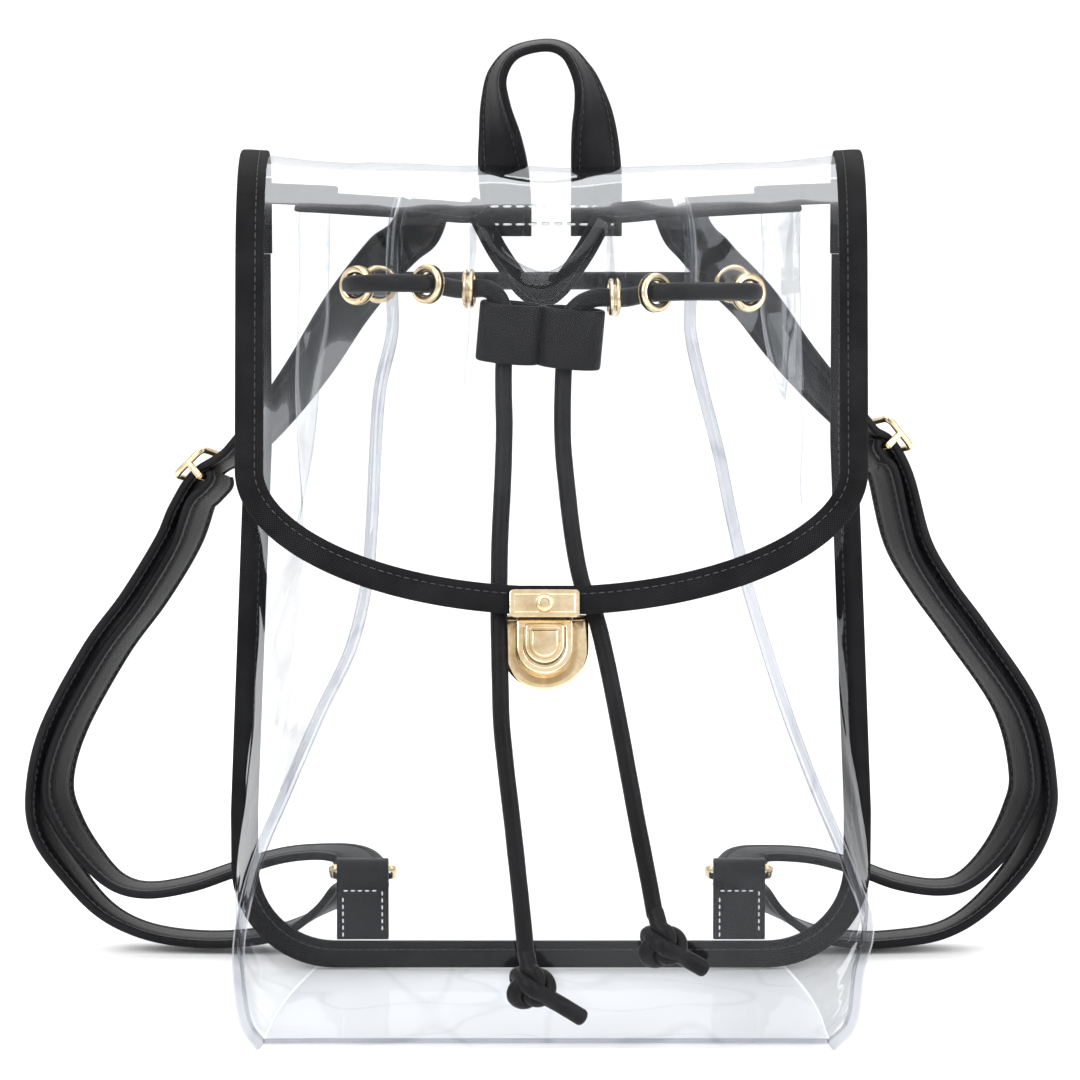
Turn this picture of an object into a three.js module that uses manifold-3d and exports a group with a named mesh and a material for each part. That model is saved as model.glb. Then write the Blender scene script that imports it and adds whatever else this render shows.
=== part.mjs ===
// Clear drawstring backpack with bound edges, a tuck-lock flap and two shoulder straps.
// Millimetres, +Z up, front towards -Y. The origin is the middle of the underside of the bottom.
import * as THREE from 'three';
import { mergeVertices } from 'three/addons/utils/BufferGeometryUtils.js';
import Module from 'manifold-3d';

const wasm = await Module();
wasm.setup();

// Overall sizes of the bag
const BAG_DEPTH = 120;
const FRONT_HALF_WIDTH = 108;
const MOUTH_HEIGHT = 289;
const BACK_HALF_WIDTH = 117;
const BACK_TOP_HALF_WIDTH = 111;
const BACK_TAPER_LOW = 59;
const BACK_TAPER_HIGH = 196;
const BACK_CORNER_RADIUS = 38;
const BACK_SEAM_Z = 264;
const BACK_TOP_Z = 274;

// Sheet, binding and the gaps between pieces
const SHEET = 1;
const GAP = 0.3;
const BINDING_WALL = 0.8;
const EDGE_BINDING_WIDTH = 10;
const RIM_BINDING_WIDTH = 7.5;
const SEAM_FIN = 4;
const RIM_START = 2.6;
const RIM_SLACK = 0.2;
const FLAP_SLACK = 0.35;

// Gathered mouth
const CORD_Z = 257;
const FOLD_START_Z = 243;
const FLAT_END_Z = 271;
const MOUTH_HALF_WIDTH = 51.5;
const MOUTH_SHIFT = -3.5;
const POCKET_DEPTH = 19;
const FLOP_ANGLE = 150;

// Flap
const FLAP_HALF_WIDTH = 110.5;
const FLAP_CURVE_Z = 200;
const FLAP_BOTTOM_Z = 153.6;
const FLAP_TOP_Z = 303;
const FLAP_REACH = 110.5;
const FLAP_SAG = 5;
const FLAP_SIDE_DROP = 4;

// Grommets
const GROMMET_BORE = 4;
const GROMMET_RADIUS = 7;
const GROMMET_WALL = 0.9;

// Cords
const CORD_RADIUS = 3.25;
const TAIL_RADIUS = 3;
const KNOT_RADIUS = 8;

// Stopper
const STOPPER_WIDTH = 43;
const STOPPER_HEIGHT = 21;
const STOPPER_DEPTH = 14;
const STOPPER_WALL = 1.6;
const STOPPER_X = -3.9;
const STOPPER_FORWARD = 66;
const STOPPER_Z = 244;
const STOPPER_TILT = -5;

// Straps, handle, tabs and their metal
const STRAP_WIDTH = 18.5;
const STRAP_THICKNESS = 3;
const STRAP_REACH = 192;
const STRAP_BACK = 40;
const STRAP_TOP_Z = 281;
const BUCKLE_HALF_LENGTH = 7;
const HANDLE_HEIGHT = 342;
const HANDLE_HALF_SPACING = 16.3;
const HANDLE_END_Z = 270;
const TAB_X = 69;
const TAB_TOP_Z = 40;
const TAB_THICKNESS = 2;
const WIRE_RADIUS = 1.3;
const RING_HALF_DEPTH = 6.5;
const RING_TILT = 30;

// Lock
const LOCK_X = -2.4;
const LOCK_Z = 138;
const LOCK_HALF_WIDTH = 15.4;
const LOCK_TOP = 12.5;
const LOCK_BOTTOM = -14;
const LOCK_PLATE = 1.2;
const LOCK_BODY_HALF_WIDTH = 9.8;
const LOCK_BODY_TOP = 9.6;
const LOCK_BODY_BOTTOM = -9.4;
const LOCK_BODY_SET_BACK = 1.5;
const BUTTON_HALF_WIDTH = 6.9;
const BUTTON_TOP = 8.2;
const BUTTON_BOTTOM = -5.7;
const TONGUE_HALF_WIDTH = 12.3;
const TONGUE_HEIGHT = 9.8;
const BLADE_HALF_WIDTH = 5.5;
const BLADE_LENGTH = 8;
const BUTTON_DEPTH = 3.2;
const BUTTON_WALL = 0.6;
const BUTTON_TRAVEL = 1;
const RIVET_RADIUS = 3;
const RIVET_HEIGHT = 1.6;

const RADIAN = Math.PI / 180;
const BINDING_OUTER = SHEET / 2 + GAP + BINDING_WALL;
const EDGE_INSET = GAP + BINDING_WALL;
const FLAP_BACK = -(SHEET + GAP);
const SEWN_BACK = FLAP_BACK - SHEET / 2 - GAP - STRAP_THICKNESS / 2;

const clearSheet = new THREE.MeshStandardMaterial({
  color: 0xdfe6ea, roughness: 0.05, metalness: 0, transparent: true, opacity: 0.3,
});
const blackWeave = new THREE.MeshStandardMaterial({ color: 0x1c1c1e, roughness: 0.85, metalness: 0 });
const blackLeather = new THREE.MeshStandardMaterial({ color: 0x161618, roughness: 0.5, metalness: 0 });
const paleGold = new THREE.MeshStandardMaterial({ color: 0xd9bc8a, roughness: 0.2, metalness: 1 });

const group = new THREE.Group();

// A point from its place across, its distance in front of the back panel and its height.
function place(x, forward, z) {
  return new THREE.Vector3(x, BAG_DEPTH / 2 - forward, z);
}

function mix(a, b, share) {
  return a + (b - a) * share;
}

function smooth(low, high, value) {
  const share = Math.min(1, Math.max(0, (value - low) / (high - low)));
  return share * share * (3 - 2 * share);
}

function add(name, geometry, material) {
  const mesh = new THREE.Mesh(geometry, material);
  mesh.name = name;
  group.add(mesh);
  return mesh;
}

// A closed geometry from points and triangles, turned so that its faces point out.
function closedGeometry(points, triangles) {
  let volume = 0;
  for (const [a, b, c] of triangles) {
    volume += points[a].dot(new THREE.Vector3().crossVectors(points[b], points[c]));
  }
  const index = triangles.flatMap(([a, b, c]) => (volume < 0 ? [a, c, b] : [a, b, c]));
  const geometry = new THREE.BufferGeometry().setFromPoints(points);
  geometry.setIndex(index);
  return geometry;
}

// The offset of a sheet's face at each point of its grid, as long as half its thickness, and
// longer at a sharp fold so that the sheet stays as thick there.
function gridOffsets(grid) {
  const rows = grid.length;
  const columns = grid[0].length;
  return grid.map((row, j) => row.map((point, i) => {
    const rise = new THREE.Vector3().subVectors(
      grid[Math.min(j + 1, rows - 1)][i], grid[Math.max(j - 1, 0)][i]);
    const before = new THREE.Vector3().subVectors(point, row[Math.max(i - 1, 0)]);
    const after = new THREE.Vector3().subVectors(row[Math.min(i + 1, columns - 1)], point);
    if (i === 0) before.copy(after);
    if (i === columns - 1) after.copy(before);
    const first = before.cross(rise).normalize();
    const second = after.cross(rise).normalize();
    const middle = first.clone().add(second).normalize();
    return middle.multiplyScalar(SHEET / 2 / Math.max(0.6, middle.dot(first)));
  }));
}

// A sheet of even thickness about a grid of points.
function sheetGeometry(grid) {
  const offsets = gridOffsets(grid);
  const rows = grid.length;
  const columns = grid[0].length;
  const points = [];
  for (const side of [1, -1]) {
    grid.forEach((row, j) => row.forEach((point, i) => {
      points.push(point.clone().addScaledVector(offsets[j][i], side));
    }));
  }
  const at = (side, j, i) => side * rows * columns + j * columns + i;
  const triangles = [];
  const quad = (a, b, c, d) => triangles.push([a, b, c], [a, c, d]);
  for (let j = 0; j < rows - 1; j += 1) {
    for (let i = 0; i < columns - 1; i += 1) {
      quad(at(0, j, i), at(0, j, i + 1), at(0, j + 1, i + 1), at(0, j + 1, i));
      quad(at(1, j, i), at(1, j + 1, i), at(1, j + 1, i + 1), at(1, j, i + 1));
    }
  }
  for (let i = 0; i < columns - 1; i += 1) {
    quad(at(0, 0, i), at(1, 0, i), at(1, 0, i + 1), at(0, 0, i + 1));
    quad(at(0, rows - 1, i), at(0, rows - 1, i + 1), at(1, rows - 1, i + 1), at(1, rows - 1, i));
  }
  for (let j = 0; j < rows - 1; j += 1) {
    quad(at(0, j, 0), at(0, j + 1, 0), at(1, j + 1, 0), at(1, j, 0));
    quad(at(0, j, columns - 1), at(1, j, columns - 1),
      at(1, j + 1, columns - 1), at(0, j + 1, columns - 1));
  }
  return closedGeometry(points, triangles);
}

// A solid lofted through rings of points that follow one flat section. On the sides in turned,
// each patch is split along its other diagonal.
function loft(rings, section, isLoop = false, turned = []) {
  const count = section.length;
  const points = rings.flat();
  const triangles = [];
  const last = isLoop ? rings.length : rings.length - 1;
  for (let j = 0; j < last; j += 1) {
    const here = j * count;
    const next = ((j + 1) % rings.length) * count;
    for (let i = 0; i < count; i += 1) {
      const side = (i + 1) % count;
      if (turned.includes(i)) {
        triangles.push([here + i, here + side, next + i], [here + side, next + side, next + i]);
      } else {
        triangles.push([here + i, here + side, next + side], [here + i, next + side, next + i]);
      }
    }
  }
  if (!isLoop) {
    const caps = THREE.ShapeUtils.triangulateShape(section, []);
    const end = (rings.length - 1) * count;
    const turn = THREE.ShapeUtils.area(section) > 0;
    for (const [a, b, c] of caps) {
      triangles.push(turn ? [a, c, b] : [a, b, c]);
      triangles.push(turn ? [end + a, end + b, end + c] : [end + a, end + c, end + b]);
    }
  }
  return closedGeometry(points, triangles);
}

// A folded binding strip round the edge of a sheet. Each station gives a corner's place from how
// far out past the edge it lies and how far off the sheet's middle. A looser fold has slack.
function bindingGeometry(stations, width, slack = 0) {
  const inner = SHEET / 2 + GAP + slack;
  const outer = BINDING_OUTER + slack;
  const section = [
    [-width + EDGE_INSET, outer], [EDGE_INSET + slack, outer],
    [EDGE_INSET + slack, -outer], [-width + EDGE_INSET, -outer],
    [-width + EDGE_INSET, -inner], [GAP + slack, -inner],
    [GAP + slack, inner], [-width + EDGE_INSET, inner],
  ].map(([out, off]) => new THREE.Vector2(out, off));
  const rings = stations.map((station) => section.map((corner) => station(corner.x, corner.y)));
  const foldFace = 5;
  const innerFace = 6;
  return loft(rings, section, false, [foldFace, innerFace]);
}

// Stations square to the edge, for a sheet that is nearly flat under its binding.
function squareStations(rows) {
  return rows.map(({ point, inside, offset }, k) => {
    const before = rows[Math.max(k - 1, 0)].point;
    const after = rows[Math.min(k + 1, rows.length - 1)].point;
    const along = new THREE.Vector3().subVectors(after, before).normalize();
    const face = offset.clone().multiplyScalar(2 / SHEET);
    const unit = face.clone().normalize();
    const edgeOut = new THREE.Vector3().subVectors(point, inside);
    edgeOut.addScaledVector(along, -edgeOut.dot(along));
    edgeOut.addScaledVector(unit, -edgeOut.dot(unit)).normalize();
    return (out, off) => point.clone().addScaledVector(edgeOut, out).addScaledVector(face, off);
  });
}

// Stations that follow the sheet's own rows, for a rim with folds.
function foldedStations(rows) {
  return rows.map(({ point, inside, offset, insideOffset }) => (out, off) => {
    const share = out < 0 ? 1 : -out / point.distanceTo(inside);
    const middle = point.clone().lerp(inside, share);
    const face = (out < 0 ? insideOffset : offset).clone().multiplyScalar(2 / SHEET);
    return middle.addScaledVector(face, off);
  });
}

// A flat band through stations of a place and a direction across the band. A station that is
// flat lies against the back panel.
function bandGeometry(stations, width, thickness) {
  const section = [
    [-width / 2, -thickness / 2], [width / 2, -thickness / 2],
    [width / 2, thickness / 2], [-width / 2, thickness / 2],
  ].map(([across, off]) => new THREE.Vector2(across, off));
  const rings = stations.map(({ point, across, isFlat }, k) => {
    const before = stations[Math.max(k - 1, 0)].point;
    const after = stations[Math.min(k + 1, stations.length - 1)].point;
    const along = new THREE.Vector3().subVectors(after, before).normalize();
    if (isFlat) along.setY(0).normalize();
    const wide = across.clone().addScaledVector(along, -across.dot(along)).normalize();
    const face = new THREE.Vector3().crossVectors(wide, along);
    return section.map((corner) => point.clone()
      .addScaledVector(wide, corner.x).addScaledVector(face, corner.y));
  });
  return loft(rings, section);
}

// A smooth row of stations through a table of places and across directions.
function smoothStations(rows, steps) {
  const path = new THREE.CatmullRomCurve3(rows.map((row) => row.point), false, 'centripetal');
  const stations = [];
  rows.forEach((row, k) => {
    if (k === rows.length - 1) {
      stations.push(row);
      return;
    }
    for (let step = 0; step < steps; step += 1) {
      const share = step / steps;
      stations.push({
        point: path.getPoint((k + share) / (rows.length - 1)),
        across: row.across.clone().lerp(rows[k + 1].across, share),
        isFlat: row.isFlat && step === 0,
      });
    }
  });
  return stations;
}

// A round tube along a smooth curve through a few points.
function tubeGeometry(points, radius, steps, sides = 8) {
  const path = new THREE.CatmullRomCurve3(points, false, 'centripetal');
  const ring = [];
  for (let k = 0; k < sides; k += 1) {
    const angle = 2 * Math.PI * k / sides;
    ring.push(new THREE.Vector2(radius * Math.cos(angle), radius * Math.sin(angle)));
  }
  return new THREE.ExtrudeGeometry(new THREE.Shape(ring), {
    steps, bevelEnabled: false, extrudePath: path,
  });
}

// A wire bent to a closed loop with round corners, lying flat in X and Y.
function wireLoopGeometry(halfWidth, halfDepth, corner, radius, sides = 6) {
  const centres = [[1, 1, 0], [-1, 1, 90], [-1, -1, 180], [1, -1, 270]];
  const rings = [];
  const section = [];
  for (let k = 0; k < sides; k += 1) {
    const angle = 2 * Math.PI * k / sides;
    section.push(new THREE.Vector2(radius * Math.cos(angle), radius * Math.sin(angle)));
  }
  for (const [sideX, sideY, start] of centres) {
    for (const turn of [0, 45, 90]) {
      const angle = (start + turn) * RADIAN;
      const out = new THREE.Vector3(Math.cos(angle), Math.sin(angle), 0);
      const centre = new THREE.Vector3(sideX * (halfWidth - corner), sideY * (halfDepth - corner), 0);
      const middle = centre.addScaledVector(out, corner);
      rings.push(section.map((spot) => middle.clone()
        .addScaledVector(out, spot.x).add(new THREE.Vector3(0, 0, spot.y))));
    }
  }
  return loft(rings, section, true);
}

// Closed solids for cutting and joining.
function toSolid(geometry) {
  const bare = geometry.clone();
  bare.deleteAttribute('normal');
  bare.deleteAttribute('uv');
  const merged = mergeVertices(bare, 1e-4);
  return new wasm.Manifold(new wasm.Mesh({
    numProp: 3,
    vertProperties: new Float32Array(merged.attributes.position.array),
    triVerts: new Uint32Array(merged.index.array),
  }));
}

function toGeometry(solid) {
  const { vertProperties, triVerts } = solid.getMesh();
  const geometry = new THREE.BufferGeometry();
  geometry.setAttribute('position', new THREE.BufferAttribute(vertProperties, 3));
  geometry.setIndex(new THREE.BufferAttribute(triVerts, 1));
  return geometry;
}

// Front seams: height as a share of the mouth's, half widths and depth as shares of the body's.
const SEAM_TABLE = [
  { height: 0.0062, left: 0.935, right: 0.9, depth: 0.99 },
  { height: 0.035, left: 0.98, right: 0.96, depth: 1.008 },
  { height: 0.097, left: 1, right: 0.98, depth: 1.016 },
  { height: 0.156, left: 0.99, right: 1.01, depth: 1.012 },
  { height: 0.235, left: 0.935, right: 0.935, depth: 0.992 },
  { height: 0.315, left: 0.843, right: 0.843, depth: 0.958 },
  { height: 0.405, left: 0.736, right: 0.75, depth: 0.912 },
  { height: 0.478, left: 0.639, right: 0.685, depth: 0.854 },
  { height: 0.554, left: 0.588, right: 0.622, depth: 0.796 },
  { height: 0.63, left: 0.57, right: 0.575, depth: 0.757 },
  { height: 0.706, left: 0.56, right: 0.532, depth: 0.69 },
  { height: 0.779, left: 0.546, right: 0.48, depth: 0.585 },
];

// Rows of the body's sheets from the bottom to the rim, with how far the folds have formed.
function bodyRows() {
  const rows = SEAM_TABLE.map((row) => {
    const z = row.height * MOUTH_HEIGHT;
    return {
      z,
      left: -row.left * FRONT_HALF_WIDTH,
      right: row.right * FRONT_HALF_WIDTH,
      depth: row.depth * BAG_DEPTH,
      lean: 0,
    };
  });
  const mouth = { left: MOUTH_SHIFT - MOUTH_HALF_WIDTH, right: MOUTH_SHIFT + MOUTH_HALF_WIDTH };
  const upper = [
    { z: FOLD_START_Z, inward: 0, depth: 0.5, lean: 0 },
    { z: CORD_Z, inward: 0, depth: 0.475, lean: 0 },
    { z: FLAT_END_Z, inward: 0, depth: 0.45, lean: 0 },
    { z: MOUTH_HEIGHT - RIM_BINDING_WIDTH + EDGE_INSET, inward: 1, depth: 0.416, lean: 0.22 },
    { z: MOUTH_HEIGHT, inward: 3, depth: 0.39, lean: 0.4 },
  ];
  for (const { z, inward, depth, lean } of upper) {
    rows.push({
      z, left: mouth.left + inward, right: mouth.right - inward, depth: depth * BAG_DEPTH, lean,
    });
  }
  return rows;
}

// Folds of the front panel from a seam to the middle: share of the half width low down and at
// the mouth, how far the fold stands out as a share of the pocket, and how far the rim flops in.
const FRONT_FOLDS = [
  { name: 'seam', low: 1, mouth: 1, out: 0, flop: 0 },
  { name: 'outer flat', low: 0.83, mouth: 0.8, out: 0.458, flop: 0 },
  { name: 'outer flat end', low: 0.68, mouth: 0.62, out: 0.87, flop: 0 },
  { name: 'fold', low: 0.62, mouth: 0.555, out: 1, flop: 0 },
  { name: 'inner flat end', low: 0.58, mouth: 0.508, out: 0.87, flop: 0 },
  { name: 'inner flat', low: 0.5, mouth: 0.494, out: 0.41, flop: 0 },
  { name: 'recess corner', low: 0.41, mouth: 0.48, out: -0.05, flop: 0 },
  { name: 'recess turn', low: 0.34, mouth: 0.42, out: -0.33, flop: 0.35 },
  { name: 'recess', low: 0.18, mouth: 0.24, out: -0.5, flop: 0.75 },
];
const FRONT_MIDDLE = { name: 'middle', low: 0, mouth: 0, out: -0.57, flop: 1 };

// Folds of a gusset from the front seam to the back: share of its length low down, and at the
// mouth its shares of the way out to the back edge and back to it.
const GUSSET_FOLDS = [
  { name: 'seam', low: 0, out: 0, back: 0 },
  { name: 'front flat', low: 0.14, out: 0.23, back: 0.151 },
  { name: 'front flat end', low: 0.3, out: 0.55, back: 0.361 },
  { name: 'outer fold', low: 0.42, out: 0.694, back: 0.456 },
  { name: 'middle', low: 0.55, out: 0.6, back: 0.63 },
  { name: 'inner fold', low: 0.68, out: 0.47, back: 0.77 },
  { name: 'rear', low: 0.84, out: 0.74, back: 0.9 },
  { name: 'back edge', low: 1, out: 1, back: 1 },
];
const PLEAT_START = 0.42;
const POCKET_START = 0.62;
const GUSSET_BULGE = 3;

// How far the rim has flopped in: the sheet bends evenly from the fold's start to the rim.
function flop(z, share) {
  const rise = z - FOLD_START_Z;
  if (rise <= 0 || share === 0) return { up: 0, inward: 0 };
  const bend = share * FLOP_ANGLE * RADIAN / (MOUTH_HEIGHT - FOLD_START_Z);
  return {
    up: Math.sin(bend * rise) / bend - rise,
    inward: (1 - Math.cos(bend * rise)) / bend,
  };
}

// The root of a seam, set to one side of it so that two sheets lie side by side in the fin.
function finPoints(row, side, isFront) {
  const out = new THREE.Vector2(side, 1).normalize();
  const aside = new THREE.Vector2(-side, 1).normalize()
    .multiplyScalar((isFront ? 1 : -1) * (SHEET + GAP) / 2);
  const x = side < 0 ? row.left : row.right;
  const root = new THREE.Vector2(x, row.depth).add(aside);
  const tip = root.clone().addScaledVector(out, SEAM_FIN);
  return { root: place(root.x, root.y, row.z), tip: place(tip.x, tip.y, row.z) };
}

function frontPoint(row, side, fold) {
  const formed = smooth(POCKET_START * MOUTH_HEIGHT, FOLD_START_Z, row.z);
  const middle = mix(row.left, row.right, 0.5);
  const half = (row.right - row.left) / 2;
  const low = middle + side * fold.low * half;
  const high = middle + side * fold.mouth * half;
  const bent = flop(row.z, fold.flop);
  const forward = row.depth + formed * (1 - row.lean) * fold.out * POCKET_DEPTH - bent.inward;
  return place(mix(low, high, formed), forward, row.z + bent.up);
}

function frontGrid() {
  return bodyRows().map((row) => {
    const left = finPoints(row, -1, true);
    const right = finPoints(row, 1, true);
    const folds = FRONT_FOLDS.slice(1);
    return [
      left.tip, left.root,
      ...folds.map((fold) => frontPoint(row, -1, fold)),
      frontPoint(row, 1, FRONT_MIDDLE),
      ...folds.map((fold) => frontPoint(row, 1, fold)).reverse(),
      right.root, right.tip,
    ];
  });
}

// Half width of the back panel's bound outline at a height.
function backHalfWidth(z) {
  const share = Math.min(1, Math.max(0, (z - BACK_TAPER_LOW) / (BACK_TAPER_HIGH - BACK_TAPER_LOW)));
  const side = mix(BACK_HALF_WIDTH, BACK_TOP_HALF_WIDTH, share);
  if (z >= BACK_CORNER_RADIUS) return side;
  const drop = BACK_CORNER_RADIUS - z;
  return side - BACK_CORNER_RADIUS + Math.sqrt(BACK_CORNER_RADIUS ** 2 - drop ** 2);
}

const GUSSET_BACK = BINDING_OUTER + GAP + SHEET;

function gussetPoint(row, side, fold) {
  const formed = smooth(PLEAT_START * MOUTH_HEIGHT, FOLD_START_Z, row.z);
  const start = side < 0 ? row.left : row.right;
  const end = side * (backHalfWidth(row.z) - EDGE_BINDING_WIDTH / 2);
  const low = new THREE.Vector2(
    mix(start, end, fold.low) + side * GUSSET_BULGE * Math.sin(Math.PI * fold.low),
    mix(row.depth, GUSSET_BACK, fold.low));
  const high = new THREE.Vector2(
    mix(start, end, fold.out), mix(row.depth, GUSSET_BACK, fold.back));
  const spot = low.lerp(high, formed);
  return place(spot.x, spot.y, row.z);
}

function gussetGrid(side) {
  return bodyRows().map((row) => {
    const { tip, root } = finPoints(row, side, false);
    return [tip, root, ...GUSSET_FOLDS.slice(1).map((fold) => gussetPoint(row, side, fold))];
  });
}

// Flap profile from its lower edge on the back, over the top and down the front: forward as a
// share of its reach, height as a share of its top.
const FLAP_PROFILE = [
  { forward: FLAP_BACK / FLAP_REACH, height: BACK_SEAM_Z / FLAP_TOP_Z, sag: 0 },
  { forward: FLAP_BACK / FLAP_REACH, height: 0.91, sag: 0 },
  { forward: FLAP_BACK / FLAP_REACH, height: 0.957, sag: 0 },
  { forward: 0.002, height: 0.972, sag: 0.2 },
  { forward: 0.055, height: 0.985, sag: 0.8 },
  { forward: 0.15, height: 0.997, sag: 1 },
  { forward: 0.26, height: 1, sag: 0.9 },
  { forward: 0.385, height: 0.995, sag: 0.5 },
  { forward: 0.5, height: 0.982, sag: 0.2 },
  { forward: 0.59, height: 0.96, sag: 0.05 },
  { forward: 0.655, height: 0.934, sag: 0 },
  { forward: 0.7, height: 0.898, sag: 0 },
  { forward: 0.735, height: 0.851, sag: 0 },
  { forward: 0.828, height: 0.715, sag: 0 },
  { forward: 0.87, height: 0.66, sag: 0 },
  { forward: 0.914, height: 0.607, sag: 0 },
  { forward: 0.96, height: 0.5545, sag: 0 },
  { forward: 1, height: 0.5069, sag: 0 },
];
const FLAP_CURVE_STEPS = 7;
const FLAP_CURVE_END = 80;
const FLAP_COLUMNS = [-1, -0.7, -0.35, 0, 0.35, 0.7, 1];

function flapForward(z) {
  const rows = FLAP_PROFILE.slice(6);
  const height = z / FLAP_TOP_Z;
  const k = Math.max(1, rows.findIndex((row) => row.height <= height + 1e-9));
  const upper = rows[k - 1];
  const lower = rows[k];
  const share = (upper.height - height) / (upper.height - lower.height);
  return mix(upper.forward, lower.forward, share) * FLAP_REACH;
}

function flapGrid() {
  const half = FLAP_HALF_WIDTH - EDGE_INSET;
  const rows = FLAP_PROFILE.filter((row) => row.height * FLAP_TOP_Z > FLAP_CURVE_Z + 1)
    .map((row) => ({
      forward: row.forward * FLAP_REACH, z: row.height * FLAP_TOP_Z, half, sag: row.sag,
    }));
  for (let k = 0; k <= FLAP_CURVE_STEPS; k += 1) {
    const angle = FLAP_CURVE_END * RADIAN * k / FLAP_CURVE_STEPS;
    const z = FLAP_CURVE_Z - (FLAP_CURVE_Z - FLAP_BOTTOM_Z) * Math.sin(angle) / Math.sin(
      FLAP_CURVE_END * RADIAN);
    rows.push({ forward: flapForward(z), z, half: half * Math.cos(angle), sag: 0 });
  }
  return rows.map((row) => FLAP_COLUMNS.map((share) => {
    const drop = FLAP_SIDE_DROP * smooth(0, FLAP_REACH, row.forward) * (share * row.half / half) ** 2;
    const z = row.z - row.sag * FLAP_SAG * (1 - share * share);
    return place(share * row.half, row.forward - drop, z);
  }));
}

// The cells of a grid along its edge, each with the next point in.
function edgeRows(grid, cells) {
  const offsets = gridOffsets(grid);
  return cells.map(([j, i, insideJ, insideI]) => ({
    point: grid[j][i],
    inside: grid[insideJ][insideI],
    offset: offsets[j][i],
    insideOffset: offsets[insideJ][insideI],
  }));
}

// The top edge of a sheet between two columns, stopping short of each seam fin.
function rimRows(grid, first, last, isOpenEnd) {
  const top = grid.length - 1;
  const cells = [];
  for (let i = first; i <= last; i += 1) cells.push([top, i, top - 1, i]);
  const rows = edgeRows(grid, cells);
  const pull = (end, next) => {
    const share = RIM_START / rows[end].point.distanceTo(rows[next].point);
    for (const key of ['point', 'inside', 'offset', 'insideOffset']) {
      rows[end][key] = rows[end][key].clone().lerp(rows[next][key], share);
    }
  };
  pull(0, 1);
  if (!isOpenEnd) pull(rows.length - 1, rows.length - 2);
  rows[0].offset.setLength(SHEET / 2);
  rows[0].insideOffset.setLength(SHEET / 2);
  return rows;
}

// A point on a grid at a share of a column and a height, with the sheet's face there.
function spotOnGrid(grid, column, z) {
  const i = Math.floor(column);
  const share = column - i;
  const along = grid.map((row) => row[i].clone().lerp(row[i + 1], share));
  const j = along.findIndex((point) => point.z > z) - 1;
  const rise = (z - along[j].z) / (along[j + 1].z - along[j].z);
  const point = along[j].clone().lerp(along[j + 1], rise);
  const up = along[j + 1].clone().sub(along[j]);
  const across = grid[j][i + 1].clone().sub(grid[j][i]);
  return { point, normal: across.cross(up).normalize() };
}

// Grommets of the front panel and the gussets: the column of the sheet they sit on, and their
// height. The two at the back sit on the back panel at their own places across.
const FRONT_GROMMETS = [
  { name: 'grommet_front_outer_left', column: 2.14, z: 262 },
  { name: 'grommet_front_inner_left', column: 6, z: 260 },
  { name: 'grommet_front_inner_right', column: 14, z: 257 },
  { name: 'grommet_front_outer_right', column: 17.86, z: 259 },
];
const GUSSET_GROMMETS = [
  { name: 'grommet_gusset_left', side: -1, column: 2.12, z: 259 },
  { name: 'grommet_gusset_right', side: 1, column: 2.45, z: 256 },
];
const BACK_GROMMETS = [
  { name: 'grommet_back_left', x: -62, z: 253 },
  { name: 'grommet_back_right', x: 65.7, z: 253 },
];
const HOLE_RADIUS = GROMMET_BORE + GROMMET_WALL + GAP;

function grommetGeometry() {
  const seat = SHEET / 2 + GAP;
  const crown = seat + GROMMET_WALL * 1.5;
  const barrel = GROMMET_BORE + GROMMET_WALL;
  const profile = [
    [GROMMET_BORE, -crown], [GROMMET_RADIUS, -seat], [barrel, -seat], [barrel, seat],
    [GROMMET_RADIUS, seat], [GROMMET_BORE, crown], [GROMMET_BORE, -crown],
  ].map(([radius, height]) => new THREE.Vector2(radius, height));
  return new THREE.LatheGeometry(profile, 10);
}

function addGrommet(name, point, normal) {
  const mesh = add(name, grommetGeometry(), paleGold);
  mesh.position.copy(point);
  mesh.quaternion.setFromUnitVectors(new THREE.Vector3(0, 1, 0), normal);
}

// A sheet's solid with a round hole at each grommet.
function cutForGrommets(geometry, spots) {
  let solid = toSolid(geometry);
  for (const { point, normal } of spots) {
    const drill = new THREE.CylinderGeometry(HOLE_RADIUS, HOLE_RADIUS, 8 * SHEET, 12);
    const turn = new THREE.Quaternion().setFromUnitVectors(new THREE.Vector3(0, 1, 0), normal);
    drill.applyQuaternion(turn);
    drill.translate(point.x, point.y, point.z);
    solid = solid.subtract(toSolid(drill));
  }
  return toGeometry(solid);
}

// Where each grommet sits, with its sheet's outer face.
function frontSpots() {
  const grid = frontGrid();
  return FRONT_GROMMETS.map(({ column, z }) => spotOnGrid(grid, column, z));
}

function gussetSpot(side) {
  const { column, z } = GUSSET_GROMMETS.find((row) => row.side === side);
  const spot = spotOnGrid(gussetGrid(side), column, z);
  spot.normal.multiplyScalar(side);
  return spot;
}

function backSpot(side) {
  const { x, z } = BACK_GROMMETS.find((row) => row.x * side > 0);
  return { point: place(x, 0, z), normal: new THREE.Vector3(0, 1, 0) };
}

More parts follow.
